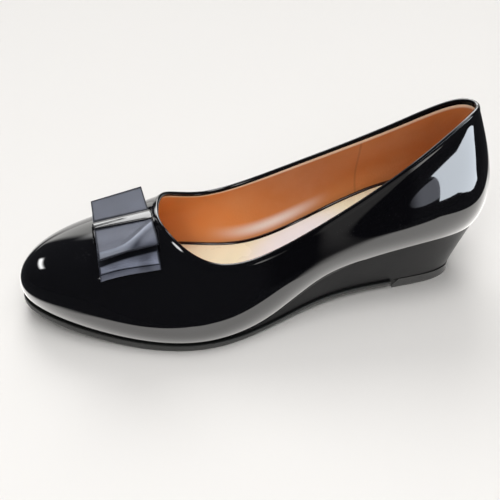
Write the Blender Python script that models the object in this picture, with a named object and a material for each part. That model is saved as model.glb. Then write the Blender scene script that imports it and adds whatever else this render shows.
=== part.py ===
"""A woman's wedge pump for the left foot, size 37: patent upper, flat ribbon bow, covered wedge.

Metres. +Z is up, +X points to the toe and +Y to the outer side of the foot. The shoe stands on z = 0.
The feather line is the edge where the upper turns under and meets the sole.
"""

import math
from typing import NamedTuple

import bmesh
import bpy
import numpy as np
from mathutils import Vector
from mathutils.bvhtree import BVHTree

# Driving sizes
FEATHER_LENGTH = 0.241  # heel to toe, along the feather line
BALL_WIDTH = 0.082  # feather line across the joints
BACK_HEIGHT = 0.0945  # top of the heel back above the floor
SEAT_HEIGHT = 0.034  # feather line above the floor at the heel
EDGE_HEIGHT = 0.004  # feather line above the floor at the ball
TOE_SPRING = 0.0073  # rise of the feather line from ball to toe
SEAT_GAP = 0.0003  # between pieces that are glued together

# Upper
UPPER_WALL = 0.002  # patent and lining together
BEAD_DEPTH = 0.0028  # rolled edge of the topline, measured down the wall
BEAD_PROUD = 0.0005
BEAD_CROWN = 0.0008  # how far the rolled edge is rounded up

# Insole and the piping round it
INSOLE_WALL = 0.0039  # with its board
INSOLE_INSET = 0.0042  # from the feather line
INSOLE_BEVEL = 0.0007
PIPING_RADIUS = 0.0012
PIPING_INSET = 0.0027
PIPING_LIFT = 0.0028

# Sole
WEDGE_INSET = 0.0003  # top of the wedge inside the feather line
WEDGE_FRONT = 0.142  # where the wedge runs out under the ball
SOLE_PROUD = 0.0009  # outsole past the feather line
SOLE_WALL_WAIST = 0.0022
SOLE_BACK = 0.055  # where the outsole stops at the heel tip
SOLE_THIN_FROM = 0.157  # the outsole thins from here back to SOLE_THIN_TO
SOLE_THIN_TO = 0.118
SOLE_EDGE_BEVEL = 0.0006
TIP_FRONT = 0.0537
TIP_UNDERCUT = 0.0035
TIP_LIP = 0.002  # height of the upright part of the heel tip's front

# Bow
BOW_CENTRE = (0.1906, 0.003)  # along, side
RIBBON_WIDTH = 0.0276  # along the foot, in the middle of the bow
RIBBON_FLARE = 0.06  # how much wider the ribbon is at the outer end, and narrower at the inner one
RIBBON_WALL = 0.0005
LOOP_PINCH = 0.0012  # between the outer faces of a loop in the middle of the bow
LOOP_FLARE = 0.05  # how much longer the loops are at their heel edge, and shorter at their toe edge
TOP_LOOP_HALF = 0.0232  # across the foot, from the middle to the fold
TOP_LOOP_OPEN = 0.0052  # between the outer faces near the fold
TOP_LOOP_GAPE = 0.25  # how much wider the loop opens at its toe edge, and narrower at its heel edge
TOP_LOOP_TILT = math.radians(5.5)
TOP_LOOP_TWIST = math.radians(4)  # how much more the ends tilt
UNDER_LOOP_HALF = 0.0240
UNDER_LOOP_OPEN = 0.0024
UNDER_LOOP_LIFT = 0.0006  # off the vamp
UNDER_LOOP_TILT = math.radians(12)  # of its middle, which spans from the back of the vamp
UNDER_LOOP_SPAN = 0.012  # how far to each side the middle keeps off the vamp
BAND_WIDTH = 0.0062
BAND_TAPER = 0.2  # how much narrower the band is at the toe, and wider at the heel
BAND_WALL = 0.0008
BAND_CLEAR = 0.0004
BAND_CORNER = 0.0012

# Fineness of the meshes
STATIONS = 44  # along each side of the foot
WALL_STEPS = 9
PIPING_SIDES = 6
RIBBON_STATIONS = 5
LOOP_STEPS = 12  # along one ply of a loop
FOLD_STEPS = 5


class Section(NamedTuple):
    """One rib of the upper, from the feather line up to the topline.

    along, top_along, low_reach and high_reach are shares of FEATHER_LENGTH, side and top_side of BALL_WIDTH,
    top_height of BACK_HEIGHT. leave is the slope of the wall above the feather line, and arrive the slope
    at the topline, in degrees from the horizontal.
    """

    station: str
    along: float
    side: float
    top_along: float
    top_side: float
    top_height: float
    leave: float
    low_reach: float
    arrive: float
    high_reach: float


SECTIONS = (
    Section("heel back", 0.020, 0.000, 0.040, 0.000, 1.000, 59, 0.085, 72, 0.088),
    Section("outer heel corner", 0.054, 0.230, 0.068, 0.104, 0.989, 60, 0.082, 78, 0.086),
    Section("outer heel", 0.166, 0.330, 0.174, 0.212, 0.842, 62, 0.075, 80, 0.083),
    Section("outer waist", 0.394, 0.343, 0.396, 0.358, 0.577, 58, 0.058, 84, 0.058),
    Section("outer ball", 0.637, 0.546, 0.609, 0.384, 0.428, 52, 0.066, 55, 0.058),
    Section("outer toe", 0.853, 0.360, 0.705, 0.170, 0.541, 53, 0.081, 33, 0.106),
    Section("toe tip", 1.003, -0.065, 0.716, -0.045, 0.556, 65, 0.108, 17, 0.172),
    Section("inner toe", 0.903, -0.385, 0.698, -0.224, 0.543, 53, 0.096, 43, 0.126),
    Section("inner ball", 0.697, -0.458, 0.609, -0.380, 0.428, 52, 0.066, 55, 0.058),
    Section("inner waist", 0.407, -0.260, 0.396, -0.332, 0.578, 58, 0.058, 84, 0.058),
    Section("inner heel", 0.166, -0.330, 0.174, -0.212, 0.842, 62, 0.075, 80, 0.083),
    Section("inner heel corner", 0.054, -0.230, 0.068, -0.104, 0.989, 60, 0.082, 78, 0.086),
)


class Profile(NamedTuple):
    """Heights along the foot. along is a share of FEATHER_LENGTH.

    seat is the feather line's share of the climb from ball to heel, spring its share of the toe spring.
    """

    along: float
    seat: float
    spring: float


FEATHER_PROFILE = (
    Profile(0.000, 1.00, 0.0),
    Profile(0.124, 1.01, 0.0),
    Profile(0.249, 0.867, 0.0),
    Profile(0.394, 0.507, 0.0),
    Profile(0.519, 0.085, 0.0),
    Profile(0.622, 0.00, 0.0),
    Profile(0.726, 0.00, 0.0),
    Profile(0.851, 0.00, 0.19),
    Profile(1.003, 0.00, 1.0),
)


class Underside(NamedTuple):
    """The sole's underside: its lift off the floor, and how far its edge lies inside the feather line."""

    along: float
    lift: float
    inset: float


UNDERSIDE = (
    Underside(0.020, 0.0033, 0.0125),
    Underside(0.054, 0.0033, 0.0101),
    Underside(0.166, 0.0033, 0.0072),
    Underside(0.260, 0.0034, 0.0057),
    Underside(0.340, 0.0034, 0.0034),
    Underside(0.430, 0.0027, 0.0009),
    Underside(0.500, 0.0013, 0.0002),
    Underside(0.560, 0.0003, 0.0000),
    Underside(0.610, 0.0000, 0.0000),
    Underside(0.780, 0.0000, 0.0000),
    Underside(0.880, 0.0020, 0.0000),
    Underside(1.003, 0.0073, 0.0000),
)


# Curves


def cubic_spline(knots, rows, closed=False):
    """A cubic spline through the rows at the knots, as a function of the knot.

    A closed spline ends on a copy of its first row. An open one has no bend at its ends.
    """
    knots = np.asarray(knots, float)
    rows = np.asarray(rows, float).reshape(len(knots), -1)
    count = len(knots)
    step = np.diff(knots)
    slope = np.diff(rows, axis=0) / step[:, None]
    matrix = np.zeros((count, count))
    right = np.zeros_like(rows)
    for i in range(1, count - 1):
        matrix[i, i - 1 : i + 2] = step[i - 1], 2 * (step[i - 1] + step[i]), step[i]
        right[i] = 6 * (slope[i] - slope[i - 1])
    if closed:
        matrix[0, :2] = 2 * (step[-1] + step[0]), step[0]
        matrix[0, -2] = step[-1]
        right[0] = 6 * (slope[0] - slope[-1])
        matrix[-1, 0] = 1
        matrix[-1, -1] = -1
    else:
        matrix[0, 0] = 1
        matrix[-1, -1] = 1
    bend = np.linalg.solve(matrix, right)

    def value(where):
        where = np.atleast_1d(where)
        i = np.clip(np.searchsorted(knots, where, side="right") - 1, 0, count - 2)
        width = step[i][:, None]
        near = (where - knots[i])[:, None] / width
        far = 1 - near
        lift = (far**3 - far) * bend[i] + (near**3 - near) * bend[i + 1]
        return far * rows[i] + near * rows[i + 1] + lift * width**2 / 6

    return value


def bezier(start, first, second, end, share):
    """A point on a cubic Bezier curve."""
    rest = 1 - share
    return rest**3 * start + 3 * rest**2 * share * first + 3 * rest * share**2 * second + share**3 * end


def feather_height(along):
    """Height of the feather line, and of all that lies level across the foot there."""
    seat, spring = FEATHER_CURVE(along / FEATHER_LENGTH)[0]
    return EDGE_HEIGHT + seat * (SEAT_HEIGHT - EDGE_HEIGHT) + spring * TOE_SPRING


def underside(along):
    """Lift of the outsole's underside, flat on the floor under the ball, and inset of its edge."""
    lift, inset = UNDERSIDE_CURVE(along / FEATHER_LENGTH)[0]
    on_floor = UNDERSIDE[-4].along <= along / FEATHER_LENGTH <= UNDERSIDE[-3].along
    return (0.0 if on_floor else max(lift, 0.0)), max(inset, 0.0)


def outsole_top(along):
    """Upper face of the outsole: under the upper at the forefoot, thinner under the wedge."""
    lift = underside(along)[0]
    full = feather_height(min(max(along, SOLE_THIN_FROM), FEATHER_LENGTH)) - SEAT_GAP
    if along >= SOLE_THIN_FROM:
        return full
    share = min((SOLE_THIN_FROM - along) / (SOLE_THIN_FROM - SOLE_THIN_TO), 1.0)
    return lift + full + (SOLE_WALL_WAIST - full) * share


def section_curve():
    """The sections as one closed spline round the foot, by their place along the feather line."""
    scale = (FEATHER_LENGTH, BALL_WIDTH, FEATHER_LENGTH, BALL_WIDTH, BACK_HEIGHT)
    scale += (math.radians(1), FEATHER_LENGTH, math.radians(1), FEATHER_LENGTH)
    rows = np.array([section[1:] for section in SECTIONS]) * scale
    rows = np.vstack([rows, rows[:1]])
    reach = np.linalg.norm(np.diff(rows[:, :2], axis=0), axis=1)
    knots = np.concatenate([[0], np.cumsum(reach)]) / reach.sum()
    return cubic_spline(knots, rows, closed=True)


FEATHER_CURVE = cubic_spline([row.along for row in FEATHER_PROFILE], [row[1:] for row in FEATHER_PROFILE])
UNDERSIDE_CURVE = cubic_spline([row.along for row in UNDERSIDE], [row[1:] for row in UNDERSIDE])
SECTION_CURVE = section_curve()


def ring_places(back=None, front=None, samples=4000):
    """Places round the feather line, up the outer side and back down the inner one, level with each other.

    They are close together round the heel and the toe. A ring that stops at a back or front level
    has wide steps there instead.
    """
    places = np.linspace(0, 1, samples)
    along = SECTION_CURVE(places)[:, 0]
    toe = int(along.argmax())
    low = along[0] if back is None else back
    high = along[toe] if front is None else front
    first = 0 if back is None else math.pi / 2
    last = math.pi if front is None else math.pi / 2
    turn = np.linspace(first, last, STATIONS + 1)
    if back is not None or front is not None:
        turn = turn[::2]
    spread = np.cos(turn[0]) - np.cos(turn)
    level = low + (high - low) * spread / spread[-1]
    outer = np.interp(level, np.maximum.accumulate(along[: toe + 1]), places[: toe + 1])
    inner = np.interp(level, np.maximum.accumulate(along[: toe - 1 : -1]), places[: toe - 1 : -1])
    if back is not None:
        return np.concatenate([outer, inner[-2::-1]])
    if front is not None:
        return np.concatenate([inner[:0:-1], outer])
    return np.concatenate([outer, inner[-2:0:-1]])


class Rib:
    """The upper's wall at one place round the foot."""

    def __init__(self, place):
        along, side, top_along, top_side, top_height, leave, low, arrive, high = SECTION_CURVE(place % 1)[0]
        step = 1e-4
        ahead, behind = SECTION_CURVE([(place + step) % 1, (place - step) % 1])[:, :2]
        run = (ahead - behind) / np.linalg.norm(ahead - behind)
        self.outward = np.array([-run[1], run[0], 0])
        upward = np.array([0, 0, 1])
        self.feather = np.array([along, side, feather_height(along)])
        self.topline = np.array([top_along, top_side, top_height])
        self.low = self.feather + low * (math.cos(leave) * self.outward + math.sin(leave) * upward)
        self.high = self.topline + high * (math.cos(arrive) * self.outward - math.sin(arrive) * upward)

    def point(self, share):
        return bezier(self.feather, self.low, self.high, self.topline, share)

    def level(self, inset, lift=0.0):
        """A point inside the feather line, on the level of the sole there."""
        inside = self.feather - inset * self.outward
        inside[2] = feather_height(inside[0]) + lift
        return inside


class Wall:
    """The upper's outer face, and its offsets, at one rib."""

    def __init__(self, place):
        step = 1e-4
        self.rib = Rib(place)
        self.next, self.last = Rib(place + step), Rib(place - step)

    def normal(self, share):
        step = 1e-3
        up = self.rib.point(share + step) - self.rib.point(share - step)
        round_foot = self.next.point(share) - self.last.point(share)
        normal = np.cross(up, round_foot)
        return normal / np.linalg.norm(normal)

    def offset(self, share, out):
        return self.rib.point(share) + out * self.normal(share)

    def share_below_top(self, depth):
        """The share of the rib that lies a given length below the topline."""
        shares = np.linspace(1, 0.5, 200)
        points = np.array([self.rib.point(share) for share in shares])
        length = np.concatenate([[0], np.cumsum(np.linalg.norm(np.diff(points, axis=0), axis=1))])
        return float(np.interp(depth, length, shares))


# Meshes


def new_object(name, bm, material):
    """A named object from a finished mesh, with its faces pointing out and its curved faces smooth."""
    bmesh.ops.remove_doubles(bm, verts=bm.verts, dist=1e-6)
    bmesh.ops.recalc_face_normals(bm, faces=bm.faces)
    mesh = bpy.data.meshes.new(name)
    bm.to_mesh(mesh)
    bm.free()
    mesh.shade_smooth()
    mesh.set_sharp_from_angle(angle=math.radians(35))
    mesh.materials.append(material)
    piece = bpy.data.objects.new(name, mesh)
    bpy.context.scene.collection.objects.link(piece)
    return piece


def add_rings(bm, rings):
    """Vertices for several rings of points, as lists of the same length."""
    return [[bm.verts.new(Vector(point)) for point in ring] for ring in rings]


def join_rings(bm, rings, closed_round=True, closed_across=False):
    """Faces between neighbouring rings, and between the last and the first if closed_across."""
    pairs = list(zip(rings, rings[1:] + rings[:1]))
    for lower, upper in pairs if closed_across else pairs[:-1]:
        count = len(lower)
        for i in range(count if closed_round else count - 1):
            j = (i + 1) % count
            bm.faces.new((lower[i], lower[j], upper[j], upper[i]))


def fill_across(bm, ring):
    """Faces across a ring, between points that lie level with each other on its two sides."""
    low, high = (0, len(ring) - 1) if len(ring) % 2 else (1, len(ring) - 1)
    if low:
        bm.faces.new((ring[0], ring[1], ring[-1]))
    while high - low > 2:
        bm.faces.new((ring[low], ring[low + 1], ring[high - 1], ring[high]))
        low, high = low + 1, high - 1
    bm.faces.new((ring[low], ring[low + 1], ring[high]))


def plate(rings):
    """A closed solid from rings stacked from its top face to its bottom face."""
    bm = bmesh.new()
    rings = add_rings(bm, rings)
    join_rings(bm, rings)
    fill_across(bm, rings[0])
    fill_across(bm, rings[-1])
    return bm


# Pieces


def make_upper(walls, material):
    """The upper: one wall round the foot, with a rolled topline, that stands on the sole all round."""
    shares = np.linspace(0, 1, WALL_STEPS + 1)
    ribs = []
    for wall in walls:
        bead = wall.share_below_top(BEAD_DEPTH)
        rise = wall.rib.topline - wall.rib.point(bead)
        rise /= np.linalg.norm(rise)
        outer = [wall.offset(share * bead, 0.0) for share in shares]
        edge = [wall.offset(bead + 0.15 * (1 - bead), BEAD_PROUD), wall.offset(1, BEAD_PROUD)]
        edge.append(wall.offset(1, -UPPER_WALL / 2) + BEAD_CROWN * rise)
        inner = [wall.offset(share, -UPPER_WALL) for share in shares[::-1]]
        ribs.append(outer + edge + inner + [wall.rib.level(UPPER_WALL)])
    bm = bmesh.new()
    join_rings(bm, add_rings(bm, ribs), closed_across=True)
    return new_object("upper", bm, material)


def make_insole(ribs, material):
    """The insole: it lies on the sole, inside its piping."""
    levels = (
        (INSOLE_INSET + INSOLE_BEVEL, INSOLE_WALL),
        (INSOLE_INSET, INSOLE_WALL - INSOLE_BEVEL),
        (INSOLE_INSET, 0.0),
    )
    rings = [[rib.level(inset, lift) for rib in ribs] for inset, lift in levels]
    return new_object("insole", plate(rings), material)


def make_piping(ribs, material):
    """The round piping that runs between insole and lining."""
    rings = []
    for side in range(PIPING_SIDES):
        angle = 2 * math.pi * side / PIPING_SIDES
        inset = PIPING_INSET + PIPING_RADIUS * math.cos(angle)
        lift = PIPING_LIFT + PIPING_RADIUS * math.sin(angle)
        rings.append([rib.level(inset, lift) for rib in ribs])
    bm = bmesh.new()
    join_rings(bm, add_rings(bm, rings), closed_across=True)
    return new_object("insole_piping", bm, material)


def sole_edge(rib, inset, height):
    """A point of the sole's side, inside the feather line by inset, at the height for its place."""
    point = rib.feather - inset * rib.outward
    point[2] = height(point[0])
    return point


def wedge_foot(rib):
    """How far the wedge's lower edge, and the heel tip under it, lie inside the feather line."""
    return WEDGE_INSET + underside(rib.feather[0])[1]


def make_wedge(material):
    """The covered wedge: it fills the space from upper to outsole, and its back slants forward."""
    ribs = [Rib(place) for place in ring_places(front=WEDGE_FRONT)]
    top = [sole_edge(rib, WEDGE_INSET, lambda along: feather_height(along) - SEAT_GAP) for rib in ribs]
    foot = [sole_edge(rib, wedge_foot(rib), lambda along: outsole_top(along) + SEAT_GAP) for rib in ribs]
    middle = [(upper + lower) / 2 for upper, lower in zip(top, foot)]
    return new_object("wedge", plate([top, middle, foot]), material)


def make_outsole(material):
    """The thin outsole, from the toe back under the wedge to the heel tip."""
    ribs = [Rib(place) for place in ring_places(back=SOLE_BACK)]
    floor = [underside(rib.feather[0]) for rib in ribs]
    rings = []
    for inset, top_share, lift in (
        (SOLE_EDGE_BEVEL, 1, 0.0),
        (0.0, 1, -SOLE_EDGE_BEVEL),
        (0.0, 0, SOLE_EDGE_BEVEL),
        (SOLE_EDGE_BEVEL, 0, 0.0),
    ):
        height = outsole_top if top_share else lambda along: underside(along)[0]
        ring = [sole_edge(rib, inset - SOLE_PROUD + tuck, height) for rib, (_, tuck) in zip(ribs, floor)]
        rings.append([point + np.array([0, 0, lift]) for point in ring])
    return new_object("outsole", plate(rings), material)


def make_heel_tip(material):
    """The rubber tip under the heel. Its front leans back over a short upright lip."""
    ribs = [Rib(place) for place in ring_places(front=TIP_FRONT)]
    outline = np.array([sole_edge(rib, wedge_foot(rib), lambda along: 0.0) for rib in ribs])
    back = outline[:, 0].min()
    front = outline[:, 0].max()
    rings = []
    for height, undercut in ((outsole_top(0.0), TIP_UNDERCUT), (TIP_LIP, 0.0), (0.0, 0.0)):
        ring = outline.copy()
        ring[:, 0] = back + (outline[:, 0] - back) * (front - undercut - back) / (front - back)
        ring[:, 2] = height
        rings.append(ring)
    return new_object("heel_tip", plate(rings), material)


def loop_path(half, open_height):
    """One ribbon loop seen along the foot: (across, up) of its outer face, from an end of the top ply."""
    fold = open_height / 2
    flat = half - fold
    ply = []
    for i in range(2 * LOOP_STEPS + 1):
        across = -flat + flat * i / LOOP_STEPS
        swell = (across / flat) ** 2
        ply.append((across, (LOOP_PINCH + (open_height - LOOP_PINCH) * swell) / 2))
    end = []
    for i in range(1, FOLD_STEPS):
        angle = math.pi / 2 - math.pi * i / FOLD_STEPS
        end.append((flat + fold * math.cos(angle), fold * math.sin(angle)))
    path = ply + end
    return path + [(-across, -up) for across, up in path]


def inner_path(path, wall):
    """The inner face of a ribbon loop, one ribbon thickness inside its outer face."""
    count = len(path)
    inner = []
    for i, (across, up) in enumerate(path):
        ahead, behind = path[(i + 1) % count], path[i - 1]
        run = Vector((ahead[0] - behind[0], ahead[1] - behind[1])).normalized()
        inner.append((across + wall * run.y, up - wall * run.x))
    return inner


def ribbon_loop(name, path, placed, material):
    """A closed loop of ribbon. placed turns (along, across, up) in the loop into a point of the shoe."""
    rings = []
    spread = [RIBBON_WIDTH * (i / (RIBBON_STATIONS - 1) - 0.5) for i in range(RIBBON_STATIONS)]
    for along in spread:
        rings.append([placed(along, across, up) for across, up in path])
    for along in reversed(spread):
        rings.append([placed(along, across, up) for across, up in inner_path(path, RIBBON_WALL)])
    bm = bmesh.new()
    join_rings(bm, add_rings(bm, rings), closed_across=True)
    return new_object(name, bm, material)


def vamp_height_over(upper):
    """The height of the upper's top face over a place on the vamp."""
    tree = BVHTree.FromObject(upper, bpy.context.evaluated_depsgraph_get())

    def height(along, side):
        return tree.ray_cast(Vector((along, side, 2 * BACK_HEIGHT)), Vector((0, 0, -1)))[0].z

    return height


def make_bow(upper, ribbon, patent):
    """The bow: a flat loop that lies on the vamp, a fuller loop on it, and the band that holds both."""
    vamp = vamp_height_over(upper)
    along_0, side_0 = BOW_CENTRE
    half_width = RIBBON_WIDTH / 2
    back = vamp(along_0 - half_width, side_0) + UNDER_LOOP_LIFT

    def spread(along, across, half):
        """The place in plan: the ribbon is wider at its outer end, the loops longer at their heel edge."""
        end = min(abs(across) / half, 1) ** 2
        wide = along * (1 + RIBBON_FLARE * across / half)
        return wide, across * (1 - LOOP_FLARE * along / half_width), end

    def under_place(along, across, up):
        """The under loop: its middle slopes from the back of the vamp, and its ends lie down on the vamp."""
        along, across, _ = spread(along, across, UNDER_LOOP_HALF)
        swell = LOOP_PINCH + (UNDER_LOOP_OPEN - LOOP_PINCH) * min(abs(across) / UNDER_LOOP_HALF, 1) ** 2
        lying = vamp(along_0 + along, side_0 + across) + UNDER_LOOP_LIFT
        spanning = max(lying, back - math.tan(UNDER_LOOP_TILT) * (along + half_width))
        share = max(0.0, 1 - (across / UNDER_LOOP_SPAN) ** 2)
        height = lying + (spanning - lying) * share + swell / 2 + up
        return Vector((along_0 + along, side_0 + across, height))

    top_back = back + LOOP_PINCH + SEAT_GAP + LOOP_PINCH / 2
    middle = top_back - math.tan(TOP_LOOP_TILT) * half_width

    def top_place(along, across, up):
        """The top loop: nearly flat, and its ends tilt a little more to the toe."""
        along, across, end = spread(along, across, TOP_LOOP_HALF)
        slope = math.tan(TOP_LOOP_TILT + TOP_LOOP_TWIST * end)
        gape = 1 + TOP_LOOP_GAPE * along / half_width * end
        return Vector((along_0 + along, side_0 + across, middle - slope * along + up * gape))

    return [
        ribbon_loop("bow_under_loop", loop_path(UNDER_LOOP_HALF, UNDER_LOOP_OPEN), under_place, ribbon),
        ribbon_loop("bow_top_loop", loop_path(TOP_LOOP_HALF, TOP_LOOP_OPEN), top_place, ribbon),
        make_band(vamp, top_place, patent),
    ]


def make_band(vamp, top_place, material):
    """The patent band over the middle of the bow, down to the vamp in front of it and behind it."""
    along_0, side_0 = BOW_CENTRE

    def leg(end, across, out):
        """One end of the band, from its foot on the vamp to the top. end is -1 at the heel, 1 at the toe."""
        across *= 1 - BAND_TAPER * end
        reach = end * (RIBBON_WIDTH / 2 + out)
        rise = LOOP_PINCH / 2 + out
        foot = vamp(along_0 + reach, side_0 + across) + SEAT_GAP
        points = [Vector((along_0 + reach, side_0 + across, foot))]
        for in_share, down_share in ((0.0, 1.0), (0.3, 0.3), (1.0, 0.0)):
            along = reach - end * BAND_CORNER * in_share
            points.append(top_place(along, across, rise - BAND_CORNER * down_share))
        return points

    def face(across, out):
        top = top_place(0.0, across, LOOP_PINCH / 2 + out)
        return leg(-1, across, out) + [top] + leg(1, across, out)[::-1]

    sections = []
    for share, wall_share in ((-0.5, 0.6), (-0.4, 0.76), (0.0, 1.0), (0.4, 0.76), (0.5, 0.6)):
        across = BAND_WIDTH * share
        outer, inner = face(across, BAND_CLEAR + BAND_WALL * wall_share), face(across, BAND_CLEAR)
        sections.append(outer + inner[::-1])
    bm = bmesh.new()
    sections = add_rings(bm, sections)
    join_rings(bm, sections)
    for edge in (sections[0], sections[-1]):
        for i in range(len(edge) // 2 - 1):
            bm.faces.new((edge[i], edge[i + 1], edge[-2 - i], edge[-1 - i]))
    return new_object("bow_band", bm, material)


# Materials


def finish(name, colour, roughness):
    """A plain material of one colour."""
    material = bpy.data.materials.new(name)
    material.use_nodes = True
    shader = material.node_tree.nodes["Principled BSDF"]
    shader.inputs["Base Color"].default_value = (*colour, 1)
    shader.inputs["Roughness"].default_value = roughness
    shader.inputs["Metallic"].default_value = 0.0
    return material


def stand_on_origin(pieces):
    """Parents the pieces to an empty and moves it so that the origin is under the middle of the shoe."""
    root = bpy.data.objects.new("shoe", None)
    bpy.context.scene.collection.objects.link(root)
    corners = np.array([vertex.co for piece in pieces for vertex in piece.data.vertices])
    middle = (corners.min(axis=0) + corners.max(axis=0)) / 2
    for piece in pieces:
        piece.parent = root
    root.location = (-middle[0], -middle[1], 0)


def main():
    for old in list(bpy.data.objects):
        bpy.data.objects.remove(old)
    patent = finish("black patent", (0.006, 0.006, 0.008), 0.06)
    covered = finish("black covered wedge", (0.012, 0.012, 0.013), 0.22)
    rubber = finish("black rubber", (0.016, 0.016, 0.015), 0.6)
    cream = finish("cream insole", (0.86, 0.70, 0.45), 0.3)
    ribbon = finish("black ribbon", (0.05, 0.055, 0.08), 0.5)

    walls = [Wall(place) for place in ring_places()]
    ribs = [wall.rib for wall in walls]
    upper = make_upper(walls, patent)
    pieces = [upper, make_insole(ribs, cream), make_piping(ribs, patent)]
    pieces += [make_wedge(covered), make_outsole(rubber), make_heel_tip(rubber)]
    pieces += make_bow(upper, ribbon, patent)
    stand_on_origin(pieces)


main()
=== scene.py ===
"""A woman's wedge pump for the left foot, dressed for its picture.

Metres. +X points to the toe, +Y to the outer side of the foot, +Z up. The shoe's sizes are measured from
the back of the heel, from the heel's centre line and from the floor, and STAND moves them into the frame.
The feather line is the edge where the upper turns under and meets the sole.
"""

import logging
import math
from dataclasses import dataclass, field
from enum import Enum
from typing import Callable, NamedTuple, Optional, Sequence

import bpy
import numpy as np
from mathutils import Matrix, Vector
from mathutils.bvhtree import BVHTree


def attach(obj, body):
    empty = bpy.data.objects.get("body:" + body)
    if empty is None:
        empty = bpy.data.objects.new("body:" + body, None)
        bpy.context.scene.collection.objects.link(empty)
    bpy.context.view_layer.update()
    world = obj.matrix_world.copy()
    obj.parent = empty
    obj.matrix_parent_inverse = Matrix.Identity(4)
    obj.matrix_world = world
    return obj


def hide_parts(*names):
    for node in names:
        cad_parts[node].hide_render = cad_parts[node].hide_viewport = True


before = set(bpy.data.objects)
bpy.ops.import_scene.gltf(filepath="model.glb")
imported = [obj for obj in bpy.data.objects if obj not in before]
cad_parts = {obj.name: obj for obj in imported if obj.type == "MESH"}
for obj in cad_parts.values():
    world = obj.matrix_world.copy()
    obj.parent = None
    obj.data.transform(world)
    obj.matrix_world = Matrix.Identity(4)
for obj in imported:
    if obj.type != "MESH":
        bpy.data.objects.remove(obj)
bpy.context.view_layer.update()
STAND = np.array([-0.1217624, -0.0019731, 0.0])
LOG = logging.getLogger("wedge_pump")
Colour = Point = tuple[float, float, float]
Socket = bpy.types.NodeSocket
Curve = Callable[[np.ndarray], np.ndarray]
Height = Callable[[np.ndarray, np.ndarray], np.ndarray]
Place = Callable[[np.ndarray, np.ndarray, np.ndarray], np.ndarray]
PLACE_STEP = 1e-4
SHARE_STEP = 1e-3
WELD_REACH = 3e-6
THINNEST_FACE = 1e-7


class Slot(Enum):
    """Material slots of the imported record."""

    PATENT = "patent"
    INSOLE = "insole"
    WEDGE_COVER = "wedge_cover"
    SOLE_RUBBER = "sole_rubber"
    RIBBON = "ribbon"


class Section(NamedTuple):
    """One rib of the upper, from the feather line up to the topline.

    along, top_along, low_reach and high_reach are shares of the feather length, side and top_side of the ball
    width, top_height of the back height. leave and arrive are the wall's slopes at both ends, in degrees.
    """

    station: str
    along: float
    side: float
    top_along: float
    top_side: float
    top_height: float
    leave: float
    low_reach: float
    arrive: float
    high_reach: float


SECTIONS = (
    Section("heel back", 0.020, 0.000, 0.040, 0.000, 1.000, 59, 0.085, 72, 0.088),
    Section("outer heel corner", 0.054, 0.230, 0.068, 0.104, 0.989, 60, 0.082, 78, 0.086),
    Section("outer heel", 0.166, 0.330, 0.174, 0.212, 0.842, 62, 0.075, 80, 0.083),
    Section("outer waist", 0.394, 0.343, 0.396, 0.358, 0.577, 58, 0.058, 84, 0.058),
    Section("outer ball", 0.637, 0.546, 0.609, 0.384, 0.428, 52, 0.066, 55, 0.058),
    Section("outer toe", 0.853, 0.360, 0.705, 0.170, 0.541, 53, 0.081, 33, 0.106),
    Section("toe tip", 1.003, -0.065, 0.716, -0.045, 0.556, 65, 0.108, 17, 0.172),
    Section("inner toe", 0.903, -0.385, 0.698, -0.224, 0.543, 53, 0.096, 43, 0.126),
    Section("inner ball", 0.697, -0.458, 0.609, -0.380, 0.428, 52, 0.066, 55, 0.058),
    Section("inner waist", 0.407, -0.260, 0.396, -0.332, 0.578, 58, 0.058, 84, 0.058),
    Section("inner heel", 0.166, -0.330, 0.174, -0.212, 0.842, 62, 0.075, 80, 0.083),
    Section("inner heel corner", 0.054, -0.230, 0.068, -0.104, 0.989, 60, 0.082, 78, 0.086),
)


class Profile(NamedTuple):
    """The feather line's height: shares of the climb from ball to heel, and of the toe spring."""

    along: float
    seat: float
    spring: float


FEATHER_PROFILE = (
    Profile(0.000, 1.00, 0.0),
    Profile(0.124, 1.01, 0.0),
    Profile(0.249, 0.867, 0.0),
    Profile(0.394, 0.507, 0.0),
    Profile(0.519, 0.085, 0.0),
    Profile(0.622, 0.00, 0.0),
    Profile(0.726, 0.00, 0.0),
    Profile(0.851, 0.00, 0.19),
    Profile(1.003, 0.00, 1.0),
)


class Underside(NamedTuple):
    """The sole's underside: its lift off the floor, and how far its edge lies inside the feather line."""

    along: float
    lift: float
    inset: float


UNDERSIDE = (
    Underside(0.020, 0.0033, 0.0125),
    Underside(0.054, 0.0033, 0.0101),
    Underside(0.166, 0.0033, 0.0072),
    Underside(0.260, 0.0034, 0.0057),
    Underside(0.340, 0.0034, 0.0034),
    Underside(0.430, 0.0027, 0.0009),
    Underside(0.500, 0.0013, 0.0002),
    Underside(0.560, 0.0003, 0.0000),
    Underside(0.610, 0.0000, 0.0000),
    Underside(0.780, 0.0000, 0.0000),
    Underside(0.880, 0.0020, 0.0000),
    Underside(1.003, 0.0073, 0.0000),
)


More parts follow.
